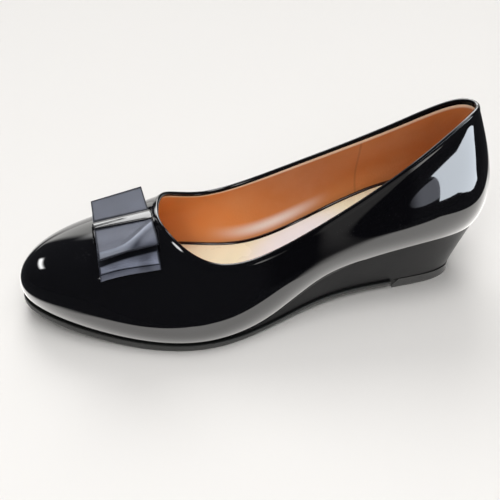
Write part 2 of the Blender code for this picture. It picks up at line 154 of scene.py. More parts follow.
def cubic_spline(knots: Sequence[float], rows: np.ndarray, closed: bool = False) -> Curve:
    """Makes a cubic spline through rows of values.

    Args:
        knots: rising places of the rows.
        rows: one row of values for each knot.
        closed: whether the last row repeats the first and the curve runs on smoothly.

    Returns:
        A function from places to rows of values.
    """
    knots = np.asarray(knots, float)
    rows = np.asarray(rows, float).reshape(len(knots), -1)
    count = len(knots)
    step = np.diff(knots)
    slope = np.diff(rows, axis=0) / step[:, None]
    matrix = np.zeros((count, count))
    right = np.zeros_like(rows)
    for i in range(1, count - 1):
        matrix[i, i - 1 : i + 2] = step[i - 1], 2 * (step[i - 1] + step[i]), step[i]
        right[i] = 6 * (slope[i] - slope[i - 1])
    if closed:
        matrix[0, :2] = 2 * (step[-1] + step[0]), step[0]
        matrix[0, -2] = step[-1]
        right[0] = 6 * (slope[0] - slope[-1])
        matrix[-1, 0] = 1
        matrix[-1, -1] = -1
    else:
        matrix[0, 0] = 1
        matrix[-1, -1] = 1
    bend = np.linalg.solve(matrix, right)

    def value(where: np.ndarray) -> np.ndarray:
        """Reads the spline.

        Args:
            where: places on it.

        Returns:
            A row of values for each place.
        """
        where = np.atleast_1d(np.asarray(where, float))
        i = np.clip(np.searchsorted(knots, where, side="right") - 1, 0, count - 2)
        width = step[i][:, None]
        near = (where - knots[i])[:, None] / width
        far = 1 - near
        lift = (far**3 - far) * bend[i] + (near**3 - near) * bend[i + 1]
        return far * rows[i] + near * rows[i + 1] + lift * width**2 / 6

    return value


def table_curve(table: Sequence[NamedTuple]) -> Curve:
    """Draws a curve through a table, over its first column."""
    return cubic_spline([row[0] for row in table], [row[1:] for row in table])


def smooth_step(share: np.ndarray) -> np.ndarray:
    """Eases a share from 0 to 1."""
    share = np.clip(share, 0, 1)
    return share * share * (3 - 2 * share)


@dataclass
class Ribs:
    """The upper's wall at several places round the foot, each row a point."""

    feather: np.ndarray
    low: np.ndarray
    high: np.ndarray
    topline: np.ndarray
    outward: np.ndarray

    def at(self, shares: np.ndarray) -> np.ndarray:
        """Gives points of the outer face at shares up the ribs.

        Args:
            shares: one row of shares for each rib.

        Returns:
            A point for each share.
        """
        share = shares[..., None]
        rest = 1 - share
        start, first = self.feather[:, None], self.low[:, None]
        second, end = self.high[:, None], self.topline[:, None]
        return rest**3 * start + 3 * rest**2 * share * first + 3 * rest * share**2 * second + share**3 * end


@dataclass
class Last:
    """The form that the shoe is built on, with the sole's levels."""

    feather_length: float = 0.241
    ball_width: float = 0.082
    back_height: float = 0.0945
    seat_height: float = 0.034
    edge_height: float = 0.004
    toe_spring: float = 0.0073
    seat_gap: float = 0.0003
    sole_wall_waist: float = 0.0022
    sole_thin_from: float = 0.157
    sole_thin_to: float = 0.118
    top_samples: int = 300
    top_lowest: float = 0.3
    side_samples: int = 8000
    sections: Curve = field(init=False)
    profile: Curve = field(init=False)
    soles: Curve = field(init=False)

    def __post_init__(self) -> None:
        """Draws the curves through the tables."""
        length, width, degree = self.feather_length, self.ball_width, math.radians(1)
        scale = (length, width, length, width, self.back_height, degree, length, degree, length)
        rows = np.array([section[1:] for section in SECTIONS]) * scale
        rows = np.vstack([rows, rows[:1]])
        reach = np.linalg.norm(np.diff(rows[:, :2], axis=0), axis=1)
        knots = np.concatenate([[0], np.cumsum(reach)]) / reach.sum()
        self.sections = cubic_spline(knots, rows, closed=True)
        self.profile = table_curve(FEATHER_PROFILE)
        self.soles = table_curve(UNDERSIDE)

    def feather_height(self, along: np.ndarray) -> np.ndarray:
        """Gives the height of the feather line, and of all that lies level across the foot there.

        Args:
            along: places along the foot.

        Returns:
            A height for each place.
        """
        seat, spring = self.profile(np.ravel(along) / self.feather_length).T
        height = self.edge_height + seat * (self.seat_height - self.edge_height) + spring * self.toe_spring
        return height.reshape(np.shape(along))

    def underside(self, along: np.ndarray) -> tuple[np.ndarray, np.ndarray]:
        """Gives the sole's underside.

        Args:
            along: places along the foot.

        Returns:
            The lift off the floor, which is none under the ball, and the inset of the edge.
        """
        share = np.ravel(along) / self.feather_length
        rows = np.maximum(self.soles(share), 0)
        rows[(share >= UNDERSIDE[-4].along) & (share <= UNDERSIDE[-3].along), 0] = 0
        return rows[:, 0].reshape(np.shape(along)), rows[:, 1].reshape(np.shape(along))

    def outsole_top(self, along: np.ndarray) -> np.ndarray:
        """Gives the upper face of the outsole, which is thinner under the wedge.

        Args:
            along: places along the foot.

        Returns:
            A height for each place.
        """
        lift = self.underside(along)[0]
        full = self.feather_height(np.clip(along, self.sole_thin_from, self.feather_length)) - self.seat_gap
        share = np.clip((self.sole_thin_from - along) / (self.sole_thin_from - self.sole_thin_to), 0, 1)
        thin = lift + full + (self.sole_wall_waist - full) * share
        return np.where(along >= self.sole_thin_from, full, thin)

    def ribs(self, places: np.ndarray) -> Ribs:
        """Works out the ribs at places round the foot.

        Args:
            places: shares of the way round the feather line.

        Returns:
            The ribs, each with the four points of its curve.
        """
        columns = self.sections(places % 1).T
        along, side, top_along, top_side, top_height, leave, low, arrive, high = columns
        ahead, behind = (self.sections((places + step) % 1)[:, :2] for step in (PLACE_STEP, -PLACE_STEP))
        run = ahead - behind
        run /= np.linalg.norm(run, axis=1, keepdims=True)
        outward = np.stack([-run[:, 1], run[:, 0], np.zeros(len(run))], axis=1)
        upward = np.array([0.0, 0.0, 1.0])
        feather = np.stack([along, side, self.feather_height(along)], axis=1)
        topline = np.stack([top_along, top_side, top_height], axis=1)
        leaving = np.cos(leave)[:, None] * outward + np.sin(leave)[:, None] * upward
        arriving = np.cos(arrive)[:, None] * outward - np.sin(arrive)[:, None] * upward
        lower = feather + low[:, None] * leaving
        upper = topline + high[:, None] * arriving
        return Ribs(feather, lower, upper, topline, outward)

    def wall(self, places: np.ndarray, shares: np.ndarray, out: np.ndarray) -> np.ndarray:
        """Gives points of the upper's wall, moved out along its normal.

        Args:
            places: places round the foot.
            shares: one row of shares up the rib for each place.
            out: how far each point lies outside the outer face.

        Returns:
            A point for each share.
        """
        ribs = self.ribs(places)
        up = ribs.at(shares + SHARE_STEP) - ribs.at(shares - SHARE_STEP)
        round_foot = self.ribs(places + PLACE_STEP).at(shares) - self.ribs(places - PLACE_STEP).at(shares)
        normal = np.cross(up, round_foot)
        normal /= np.linalg.norm(normal, axis=-1, keepdims=True)
        return ribs.at(shares) + np.broadcast_to(out, shares.shape)[..., None] * normal

    def shares_below_top(self, places: np.ndarray, depths: np.ndarray) -> np.ndarray:
        """Finds the shares of the ribs that lie given lengths below the topline.

        Args:
            places: places round the foot.
            depths: lengths down the wall, the same at each place or a row for each.

        Returns:
            One row of shares for each place.
        """
        depths = np.broadcast_to(depths, (len(places), np.shape(depths)[-1]))
        shares = np.linspace(1, self.top_lowest, self.top_samples)
        points = self.ribs(places).at(np.broadcast_to(shares, (len(places), self.top_samples)))
        length = np.cumsum(np.linalg.norm(np.diff(points, axis=1), axis=2), axis=1)
        length = np.concatenate([np.zeros((len(places), 1)), length], axis=1)
        return np.array([np.interp(deep, row, shares) for deep, row in zip(depths, length)])

    def level(self, places: np.ndarray, inset: float, lift: float) -> np.ndarray:
        """Gives points inside the feather line.

        Args:
            places: places round the foot.
            inset: how far inside they lie.
            lift: how far they lie over the level of the sole there.

        Returns:
            A point for each place.
        """
        ribs = self.ribs(places)
        inside = ribs.feather - inset * ribs.outward
        inside[:, 2] = self.feather_height(inside[:, 0]) + lift
        return inside

    def sides(self, stations: int, back: Optional[float] = None, front: Optional[float] = None) -> np.ndarray:
        """Finds places on the two sides of the foot that lie level with each other.

        Args:
            stations: how many steps there are along the foot.
            back: where the piece stops at the heel, or None for the whole heel.
            front: where the piece stops at the toe, or None for the whole toe.

        Returns:
            The places on the outer side and those on the inner side, from heel to toe.
        """
        places = np.linspace(0, 1, self.side_samples)
        along = self.sections(places)[:, 0]
        toe = int(along.argmax())
        low = along[0] if back is None else back
        high = along[toe] if front is None else front
        first = 0 if back is None else math.pi / 2
        last = math.pi if front is None else math.pi / 2
        turn = np.linspace(first, last, stations + 1)
        spread = np.cos(turn[0]) - np.cos(turn)
        level = low + (high - low) * spread / spread[-1]
        outer = np.interp(level, np.maximum.accumulate(along[: toe + 1]), places[: toe + 1])
        inner = np.interp(level, np.maximum.accumulate(along[: toe - 1 : -1]), places[: toe - 1 : -1])
        return np.stack([outer, inner])

    def ring(self, stations: int) -> np.ndarray:
        """Gives the places right round the foot, with the first one repeated at the end."""
        outer, inner = self.sides(stations)
        return np.concatenate([outer, inner[-2:0:-1], [1.0]])


LAST = Last()


def grid_piece(name: str, points: np.ndarray, smooth_angle: float, capped: bool = False) -> bpy.types.Object:
    """Lays a grid primitive over a table of points and closes it.

    Args:
        name: name of the piece.
        points: rows of points, in the shoe's own sizes. A side that closes repeats its first points.
        smooth_angle: edges sharper than this, in degrees, stay crisp.
        capped: whether an open end is filled.

    Returns:
        The finished mesh object.
    """
    rows, columns = points.shape[:2]
    bpy.ops.object.select_all(action="DESELECT")
    bpy.ops.mesh.primitive_grid_add(x_subdivisions=columns - 1, y_subdivisions=rows - 1, size=1.0)
    piece = bpy.context.active_object
    piece.name = name
    piece.data.name = name
    piece.data.vertices.foreach_set("co", (points + STAND).astype(np.float32).ravel())
    bpy.ops.object.mode_set(mode="EDIT")
    bpy.ops.mesh.select_all(action="SELECT")
    bpy.ops.mesh.remove_doubles(threshold=WELD_REACH)
    bpy.ops.mesh.dissolve_degenerate(threshold=THINNEST_FACE)
    if capped:
        bpy.ops.mesh.select_mode(type="EDGE")
        bpy.ops.mesh.select_all(action="DESELECT")
        bpy.ops.mesh.select_non_manifold(
            use_wire=False, use_multi_face=False, use_non_contiguous=False, use_verts=False
        )
        bpy.ops.mesh.edge_face_add()
        bpy.ops.mesh.select_mode(type="VERT")
    bpy.ops.mesh.select_all(action="SELECT")
    bpy.ops.mesh.normals_make_consistent(inside=False)
    bpy.ops.object.mode_set(mode="OBJECT")
    bpy.ops.object.shade_smooth_by_angle(angle=math.radians(smooth_angle))
    return piece


def plate_points(outer: np.ndarray, inner: np.ndarray, across: int, crown: float = 0.0) -> np.ndarray:
    """Makes the closed cross-sections of a flat piece from its two sides.

    Args:
        outer: levels of the outer side from bottom to top, each a row of points from heel to toe.
        inner: the same for the inner side.
        across: steps across the top and across the bottom.
        crown: how far the top swells in the middle, as a share of its width.

    Returns:
        A row of points for each station, round its cross-section.
    """
    share = np.linspace(0, 1, across + 1)[1:-1, None, None]
    top = outer[-1] * (1 - share) + inner[-1] * share
    width = np.linalg.norm(outer[-1] - inner[-1], axis=1)
    top[..., 2] += crown * width * (1 - (2 * share[..., 0] - 1) ** 4)
    bottom = inner[0] * (1 - share) + outer[0] * share
    loop = np.concatenate([outer, top, inner[::-1], bottom, outer[:1]])
    return loop.transpose(1, 0, 2)


def give(piece: bpy.types.Object, slot: Slot, finish: "Finish", *nodes: str) -> None:
    """Dresses a piece and ties it to the frame.

    Args:
        piece: the piece.
        slot: the record's material slot; not used.
        finish: the finish that it gets.
        nodes: the CAD nodes that it stands for.
    """
    piece.data.materials.clear()
    piece.data.materials.append(finish.material())
    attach(piece, "root")
    if nodes:
        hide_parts(*nodes)


class Span(NamedTuple):
    """A smooth change: where it starts and ends, and the results there."""

    low: float
    high: float
    to_low: float = 0.0
    to_high: float = 1.0


class Graph:
    """A node tree with short ways to add nodes and join them."""

    def __init__(self, tree: bpy.types.NodeTree) -> None:
        """Keeps the tree."""
        self.tree = tree

    def fill(self, node: bpy.types.Node, **inputs: object) -> bpy.types.Node:
        """Fills inputs of a node.

        Args:
            node: the node.
            inputs: socket names, with _ for spaces, or n and a number. Each has a value or another socket.

        Returns:
            The node.
        """
        for name, value in inputs.items():
            numbered = name[0] == "n" and name[1:].isdigit()
            socket = node.inputs[int(name[1:]) if numbered else name.replace("_", " ")]
            if isinstance(value, Socket):
                self.tree.links.new(value, socket)
            elif socket.type == "RGBA":
                socket.default_value = (*value, 1)
            else:
                socket.default_value = value
        return node

    def add(self, kind: str, **inputs: object) -> bpy.types.Node:
        """Adds a node of this kind and fills its inputs."""
        return self.fill(self.tree.nodes.new(kind), **inputs)

    def split(self, coords: str) -> bpy.types.NodeOutputs:
        """Gives texture coordinates of this kind as the outputs X, Y and Z."""
        found = self.add("ShaderNodeTexCoord").outputs[coords]
        return self.add("ShaderNodeSeparateXYZ", Vector=found).outputs

    def noise(self, coords: Socket, scale: object, detail: float = 2.0) -> Socket:
        """Adds a noise texture and gives its value."""
        return self.add("ShaderNodeTexNoise", Vector=coords, Scale=scale, Detail=detail).outputs[0]

    def math(self, operation: str, first: object, *others: object) -> Socket:
        """Joins values by Math nodes of one operation, from left to right.

        Args:
            operation: what the nodes do.
            first: the first value.
            others: the values that are joined to it, or none for an operation on one value.

        Returns:
            The result.
        """
        result = first
        for other in others or (0.0,):
            node = self.add("ShaderNodeMath", n0=result, n1=other)
            node.operation = operation
            result = node.outputs[0]
        return result

    def away(self, value: Socket, middle: float) -> Socket:
        """Gives how far a value lies from a middle."""
        return self.math("ABSOLUTE", self.math("SUBTRACT", value, middle))

    def ramp(
        self, value: Socket, low: float, high: float, to_low: float = 0.0, to_high: float = 1.0
    ) -> Socket:
        """Adds a smooth change by a Map Range node.

        Args:
            value: what it follows.
            low: where it starts.
            high: where it ends.
            to_low: the result at its start.
            to_high: the result at its end.

        Returns:
            The result.
        """
        ends = {"From_Min": low, "From_Max": high, "To_Min": to_low, "To_Max": to_high}
        node = self.add("ShaderNodeMapRange", Value=value, **ends)
        node.interpolation_type = "SMOOTHSTEP"
        return node.outputs["Result"]

    def follow(self, value: Socket, table: Sequence[tuple[float, float]]) -> Socket:
        """Looks a value up in a table, with straight lines between its rows.

        Args:
            value: what is looked up.
            table: rows of a value and its result, the values rising.

        Returns:
            The result.
        """
        rows = np.array(table)
        low, span = rows.min(axis=0), np.ptp(rows, axis=0)
        share = self.math("MULTIPLY", self.math("SUBTRACT", value, low[0]), 1 / span[0])
        curve = self.add("ShaderNodeFloatCurve", Value=share)
        shares = ((rows - low) / span).tolist()
        points = curve.mapping.curves[0].points
        for share in shares[1:-1]:
            points.new(*share)
        for point, share in zip(points, shares):
            point.location = share
            point.handle_type = "VECTOR"
        curve.mapping.update()
        return self.math("ADD", self.math("MULTIPLY", curve.outputs[0], span[1]), low[1])

    def mix(self, share: Socket, first: object, second: object) -> Socket:
        """Mixes two colours.

        Args:
            share: how much there is of the second.
            first: a colour or a socket.
            second: a colour or a socket.

        Returns:
            The mixed colour.
        """
        node = self.tree.nodes.new("ShaderNodeMix")
        node.data_type = "RGBA"
        return self.fill(node, n0=share, n6=first, n7=second).outputs[2]


DUST_SPECK = Span(0.06, 0.16, 1.0, 0.0)
DUST_PATCH = Span(0.5, 0.68)
DUST_PATCH_SCALE = 0.06
GRAIN_FINE_SCALE = 2.7


class Effect(Enum):
    """Effects that several finishes share, each a node group."""

    DUST = "fine_dust"
    GRAIN = "fine_grain"

    def group(self) -> bpy.types.NodeTree:
        """Gives the node group, and builds it the first time.

        Returns:
            A group with the inputs Vector and Scale and one output.
        """
        found = bpy.data.node_groups.get(self.value)
        if found:
            return found
        tree = bpy.data.node_groups.new(self.value, "ShaderNodeTree")
        tree.interface.new_socket("Vector", in_out="INPUT", socket_type="NodeSocketVector")
        tree.interface.new_socket("Scale", in_out="INPUT", socket_type="NodeSocketFloat")
        tree.interface.new_socket("Value", in_out="OUTPUT", socket_type="NodeSocketFloat")
        graph = Graph(tree)
        start = graph.add("NodeGroupInput").outputs
        vector, scale = start["Vector"], start["Scale"]
        cells = graph.add("ShaderNodeTexVoronoi", Vector=vector, Scale=scale).outputs["Distance"]
        if self is Effect.DUST:
            patches = graph.noise(vector, graph.math("MULTIPLY", scale, DUST_PATCH_SCALE))
            result = graph.math("MULTIPLY", graph.ramp(cells, *DUST_SPECK), graph.ramp(patches, *DUST_PATCH))
        else:
            fine = graph.noise(vector, graph.math("MULTIPLY", scale, GRAIN_FINE_SCALE), 3.0)
            result = graph.math("ADD", cells, fine)
        graph.add("NodeGroupOutput", Value=result)
        return tree


@dataclass(frozen=True)
class Finish:
    """A surface finish: its colours, gloss and relief."""

    name: str
    colour: Colour
    roughness: float
    coat: float = 0.0
    coat_roughness: float = 0.05
    specular: float = 0.5
    sheen: float = 0.0

    def parts(self) -> tuple[bpy.types.Material, Graph, bpy.types.Node, Socket]:
        """Starts the material with the values that are the same all over.

        Returns:
            The material, its graph, its shader and the Object coordinates.
        """
        material = bpy.data.materials.new(self.name)
        material.use_nodes = True
        graph = Graph(material.node_tree)
        shader = graph.fill(
            material.node_tree.nodes["Principled BSDF"],
            Base_Color=self.colour,
            Roughness=self.roughness,
            Coat_Weight=self.coat,
            Coat_Roughness=self.coat_roughness,
            Specular_IOR_Level=self.specular,
            Sheen_Weight=self.sheen,
        )
        return material, graph, shader, graph.add("ShaderNodeTexCoord").outputs["Object"]

    def effect(self, graph: Graph, effect: Effect, coords: Socket, scale: float) -> Socket:
        """Places a shared effect in a material.

        Args:
            graph: the material's graph.
            effect: the effect.
            coords: the coordinates that it reads.
            scale: its scale.

        Returns:
            Its value.
        """
        node = graph.tree.nodes.new("ShaderNodeGroup")
        node.node_tree = effect.group()
        return graph.fill(node, Vector=coords, Scale=scale).outputs["Value"]

    def bump(self, graph: Graph, shader: bpy.types.Node, height: Socket, depth: float) -> None:
        """Gives the shader a relief of this depth in metres."""
        node = graph.add("ShaderNodeBump", Height=height, Strength=1.0, Distance=depth)
        graph.fill(shader, Normal=node.outputs["Normal"])

    def material(self) -> bpy.types.Material:
        """Gives the material, and builds it the first time."""
        return bpy.data.materials.get(self.name) or self.build()

    def build(self) -> bpy.types.Material:
        """Builds the material. Each finish has its own."""
        raise NotImplementedError


@dataclass(frozen=True)
class Patent(Finish):
    """Black patent: a mirror gloss, faintly wavy, with a little dust on it.

    The upper's patent has little gloss inside the fold of the topline, and on a part of its outer waist.
    """

    dust_colour: Colour = (0.09, 0.09, 0.095)
    dust_scale: float = 900.0
    dust_share: float = 0.5
    dust_rough: float = 0.25
    wave_scale: float = 45.0
    wave_depth: float = 0.00006
    inside: Optional[Span] = None
    dull_gloss: float = 0.12
    waist_slant: float = 0.28
    waist_rise: Span = Span(0.0262, 0.0302)
    waist_back: Span = Span(-0.08, -0.068)
    waist_front: Span = Span(-0.005, 0.012, 1.0, 0.0)
    waist_side: Span = Span(0.0, 0.008)

    def build(self) -> bpy.types.Material:
        """Builds the material.

        Returns:
            The material.
        """
        material, graph, shader, coords = self.parts()
        dust = self.effect(graph, Effect.DUST, coords, self.dust_scale)
        base = graph.mix(graph.math("MULTIPLY", dust, self.dust_share), self.colour, self.dust_colour)
        rough = graph.ramp(dust, 0.0, 1.0, self.roughness, self.roughness + self.dust_rough)
        graph.fill(shader, Base_Color=base, Roughness=rough)
        if self.inside:
            place = graph.split("Object")
            rise = graph.math("ADD", place["Z"], graph.math("MULTIPLY", place["X"], self.waist_slant))
            waist = graph.math(
                "MULTIPLY",
                graph.ramp(rise, *self.waist_rise),
                graph.ramp(place["X"], *self.waist_back),
                graph.ramp(place["X"], *self.waist_front),
                graph.ramp(place["Y"], *self.waist_side),
            )
            dull = graph.math("MAXIMUM", graph.ramp(graph.split("UV")["X"], *self.inside), waist)
            for socket, full in (("Coat_Weight", self.coat), ("Specular_IOR_Level", self.specular)):
                graph.fill(shader, **{socket: graph.ramp(dull, 0.0, 1.0, full, full * self.dull_gloss)})
        self.bump(graph, shader, graph.noise(coords, self.wave_scale, 1.0), self.wave_depth)
        return material


@dataclass(frozen=True)
class Lining(Finish):
    """Tan lining: satin, finely grained, with a seam line, and with painted light and shade in its colour.

    Its Spans run along the foot, or down the lining where they are named low or cut.
    """

    # Painted light: brighter towards the throat, where the lining is lit.
    front_lit_colour: Colour = (1.0, 0.36, 0.095)
    front: Span = Span(-0.045, 0.06)
    # Painted shade: darker in the middle of the foot, and low on the wall at the heel.
    painted_shade_colour: Colour = (0.30, 0.09, 0.025)
    middle_shade_place: float = -0.03
    deep: Span = Span(0.0, 0.045, 0.3, 0.0)
    back: Span = Span(-0.08, -0.06, 1.0, 0.0)
    heel_shade_low: Span = Span(0.5, 0.95, 0.0, 0.4)
    tone_colour: Colour = (0.80, 0.46, 0.25)
    tone_scale: float = 55.0
    tone: Span = Span(0.35, 0.7, 0.0, 0.12)
    # Painted light thrown up from the insole: paler low on the wall, ahead of the heel.
    insole_light_colour: Colour = (0.72, 0.32, 0.11)
    pale: Span = Span(-0.09, -0.055)
    insole_light_low: Span = Span(0.62, 0.95, 0.0, 0.45)
    glare_colour: Colour = (0.95, 0.86, 0.80)
    glare_place: float = -0.012
    glare: Span = Span(0.002, 0.036, 0.9, 0.0)
    glare_level: float = 0.83
    glare_low: Span = Span(0.0, 0.11, 1.0, 0.0)
    glare_side: Span = Span(-0.012, 0.0, 1.0, 0.0)
    seam_colour: Colour = (0.22, 0.07, 0.02)
    seam_place: float = -0.0595
    seam: Span = Span(0.0002, 0.0009, 0.3, 0.0)
    # Painted highlight along the cut edge.
    cut_highlight_colour: Colour = (1.0, 0.76, 0.56)
    cut: Span = Span(0.168, 0.192, 1.0, 0.0)
    grain_scale: float = 900.0
    grain_depth: float = 0.00006

    def build(self) -> bpy.types.Material:
        """Builds the material, its colours laid over each other.

        Returns:
            The material.
        """
        material, graph, shader, coords = self.parts()
        place, level = graph.split("Object"), graph.split("UV")["X"]
        along = place["X"]
        deep = graph.ramp(graph.away(along, self.middle_shade_place), *self.deep)
        back = graph.math("MULTIPLY", graph.ramp(level, *self.heel_shade_low), graph.ramp(along, *self.back))
        pale = graph.math("MULTIPLY", graph.ramp(level, *self.insole_light_low), graph.ramp(along, *self.pale))
        glare = graph.math(
            "MULTIPLY",
            graph.ramp(graph.away(along, self.glare_place), *self.glare),
            graph.ramp(graph.away(level, self.glare_level), *self.glare_low),
            graph.ramp(place["Y"], *self.glare_side),
        )
        layers = (
            (graph.ramp(along, *self.front), self.front_lit_colour),
            (graph.math("MAXIMUM", deep, back), self.painted_shade_colour),
            (graph.ramp(graph.noise(coords, self.tone_scale, 3.0), *self.tone), self.tone_colour),
            (pale, self.insole_light_colour),
            (glare, self.glare_colour),
            (graph.ramp(graph.away(along, self.seam_place), *self.seam), self.seam_colour),
            (graph.ramp(level, *self.cut), self.cut_highlight_colour),
        )
        base = self.colour
        for share, colour in layers:
            base = graph.mix(share, base, colour)
        graph.fill(shader, Base_Color=base)
        grain = self.effect(graph, Effect.GRAIN, coords, self.grain_scale)
        self.bump(graph, shader, grain, self.grain_depth)
        return material


@dataclass(frozen=True)
class Smooth(Finish):
    """A smooth covering with a faint grain and a slight change of tone."""

    tone: float = 0.85
    tone_scale: float = 38.0
    tone_change: Span = Span(0.35, 0.68)
    rough_from: float = 0.3
    rough_to: float = 0.7
    rough_spread: float = 0.1
    grain_scale: float = 700.0
    grain_depth: float = 0.00004

    def build(self) -> bpy.types.Material:
        """Builds the material.

        Returns:
            The material.
        """
        material, graph, shader, coords = self.parts()
        patches = graph.noise(coords, self.tone_scale, 4.0)
        darker = tuple(channel * self.tone for channel in self.colour)
        base = graph.mix(graph.ramp(patches, *self.tone_change), darker, self.colour)
        rougher = self.roughness + self.rough_spread
        rough = graph.ramp(patches, self.rough_from, self.rough_to, self.roughness, rougher)
        graph.fill(shader, Base_Color=base, Roughness=rough)
        grain = self.effect(graph, Effect.GRAIN, coords, self.grain_scale)
        self.bump(graph, shader, grain, self.grain_depth)
        return material


@dataclass(frozen=True)
class Insole(Smooth):
    """The cream covering of the insole, with a painted cool sheen where the light falls on its middle."""

    # Painted sheen: a cool pale patch in the colour where the light falls.
    sheen_colour: Colour = (0.93, 0.93, 0.98)
    sheen_place: tuple[float, float] = (-0.0225, -0.006)
    sheen_reach: tuple[float, float] = (0.034, 0.022)
    sheen_share: float = 0.9

    def build(self) -> bpy.types.Material:
        """Builds the material of a smooth covering and lays the painted sheen over it.

        Returns:
            The material.
        """
        material = super().build()
        graph = Graph(material.node_tree)
        shader = material.node_tree.nodes["Principled BSDF"]
        place = graph.split("Object")
        away = []
        for axis, middle, reach in zip("XY", self.sheen_place, self.sheen_reach):
            share = graph.math("MULTIPLY", graph.math("SUBTRACT", place[axis], middle), 1 / reach)
            away.append(graph.math("MULTIPLY", share, share))
        sheen = graph.ramp(graph.math("ADD", *away), 0.0, 1.0, self.sheen_share, 0.0)
        base = shader.inputs["Base Color"].links[0].from_socket
        graph.fill(shader, Base_Color=graph.mix(sheen, base, self.sheen_colour))
        return material


BOW_ALONG = 0.1906
BOW_SIDE = 0.003
# The crease of the upper loop: places along the foot and across it, from the bow's middle.
CREST = (
    (-0.0160, 0.0050),
    (-0.0127, 0.0082),
    (-0.0092, 0.0117),
    (-0.0058, 0.0154),
    (-0.0030, 0.0182),
    (-0.0005, 0.0202),
    (0.0025, 0.0216),
    (0.0065, 0.0225),
    (0.0160, 0.0231),
)


@dataclass(frozen=True)
class Ribbon(Finish):
    """Satin ribbon: fine ribs across it and a little dust, with painted shade and a painted highlight in its
    colour.

    The places in its shade are shares of the way round the loop, and its edges are shares of the way over
    both faces of the ribbon.
    """

    rib_count: float = 180.0
    rib_depth: float = 0.00003
    light_colour: Colour = (0.020, 0.022, 0.034)
    light_scale: float = 90.0
    light: Span = Span(0.3, 0.75)
    dust_colour: Colour = (0.2, 0.2, 0.22)
    dust_scale: float = 700.0
    dust_share: float = 0.25
    gloss_tint: Colour = (0.74, 0.80, 1.0)
    density: float = 1.5
    # Painted highlight along the crease of the upper loop.
    crest_highlight_colour: Optional[Colour] = None
    crest_rise: Span = Span(-0.0008, 0.0005)
    crest_fall: Span = Span(0.0005, 0.0045, 1.0, 0.0)
    # Painted shade: below the fold, at the hem, along the edges and beside the band.
    shade_colour: Colour = (0.001, 0.001, 0.002)
    shade_gloss: float = 0.03
    shade_from: float = 0.474
    shade_to: float = 0.56
    shade_soft: float = 0.012
    shade_slant: float = 0.0
    hem: float = 0.0
    hem_slant: float = 0.0104
    hem_line: Span = Span(0.0, 0.007, 1.0, 0.0)
    hem_soft: float = 0.004
    hem_shade: float = 0.6
    edge_shade: float = 0.9
    edge_width: float = 0.02
    face_width: float = 0.482
    band: float = 0.0
    band_near: Span = Span(0.031, 0.049, 1.0, 0.0)
    band_far: Span = Span(-0.061, -0.049, 0.0, 0.9)

    def crest(self, graph: Graph, coords: Socket) -> Socket:
        """Makes the mask of the painted highlight that lies along the crease.

        Args:
            graph: the material's graph.
            coords: the Object coordinates.

        Returns:
            The mask.
        """
        place = graph.add("ShaderNodeSeparateXYZ", Vector=coords).outputs
        along = graph.math("SUBTRACT", place["X"], BOW_ALONG + STAND[0])
        across = graph.math("SUBTRACT", place["Y"], BOW_SIDE + STAND[1])
        past = graph.math("SUBTRACT", across, graph.follow(along, CREST))
        return graph.math("MULTIPLY", graph.ramp(past, *self.crest_rise), graph.ramp(past, *self.crest_fall))

    def shade(self, graph: Graph) -> Socket:
        """Makes the mask of the painted shade: below the fold, at the hem, at the edges and by the band.

        Args:
            graph: the material's graph.

        Returns:
            The mask.
        """
        uv = graph.split("UV")
        way, over = uv["X"], uv["Y"]
        into = graph.ramp(way, self.shade_from - self.shade_soft, self.shade_from)
        past = graph.math("SUBTRACT", way, graph.math("MULTIPLY", over, self.shade_slant))
        out = graph.ramp(past, self.shade_to - self.shade_soft, self.shade_to, 1.0, 0.0)
        shades = [graph.math("MULTIPLY", into, out)]
        if self.hem:
            slant = graph.math("ADD", way, graph.math("MULTIPLY", over, self.hem_slant))
            shades.append(graph.ramp(graph.away(slant, self.hem), *self.hem_line))
            shades.append(graph.ramp(slant, self.hem, self.hem + self.hem_soft, 0.0, self.hem_shade))
        fold = graph.math("PINGPONG", way, 0.5)
        for value, end in ((over, 0.0), (over, self.face_width), (fold, 0.0)):
            edge = Span(self.edge_width / 4, self.edge_width, self.edge_shade, 0.0)
            shades.append(graph.ramp(graph.away(value, end), *edge))
        if self.band:
            past = graph.math("SUBTRACT", way, self.band)
            beside = graph.ramp(past, *self.band_near), graph.ramp(past, *self.band_far)
            shades.append(graph.math("MULTIPLY", *beside))
        return graph.math("MAXIMUM", *shades)

    def build(self) -> bpy.types.Material:
        """Builds the material.

        Returns:
            The material.
        """
        material, graph, shader, coords = self.parts()
        light = graph.ramp(graph.noise(coords, self.light_scale, 3.0), *self.light)
        base = graph.mix(light, self.colour, self.light_colour)
        dust = self.effect(graph, Effect.DUST, coords, self.dust_scale)
        base = graph.mix(graph.math("MULTIPLY", dust, self.dust_share), base, self.dust_colour)
        if self.crest_highlight_colour:
            base = graph.mix(self.crest(graph, coords), base, self.crest_highlight_colour)
        shade = self.shade(graph)
        graph.fill(
            shader,
            Base_Color=graph.mix(shade, base, self.shade_colour),
            Specular_IOR_Level=graph.ramp(shade, 0.0, 1.0, self.specular, self.shade_gloss),
            IOR=self.density,
            Specular_Tint=self.gloss_tint,
            Sheen_Tint=self.gloss_tint,
        )
        turn = graph.math("MULTIPLY", graph.split("UV")["X"], self.rib_count * 2 * math.pi)
        self.bump(graph, shader, graph.math("SINE", turn), self.rib_depth)
        return material


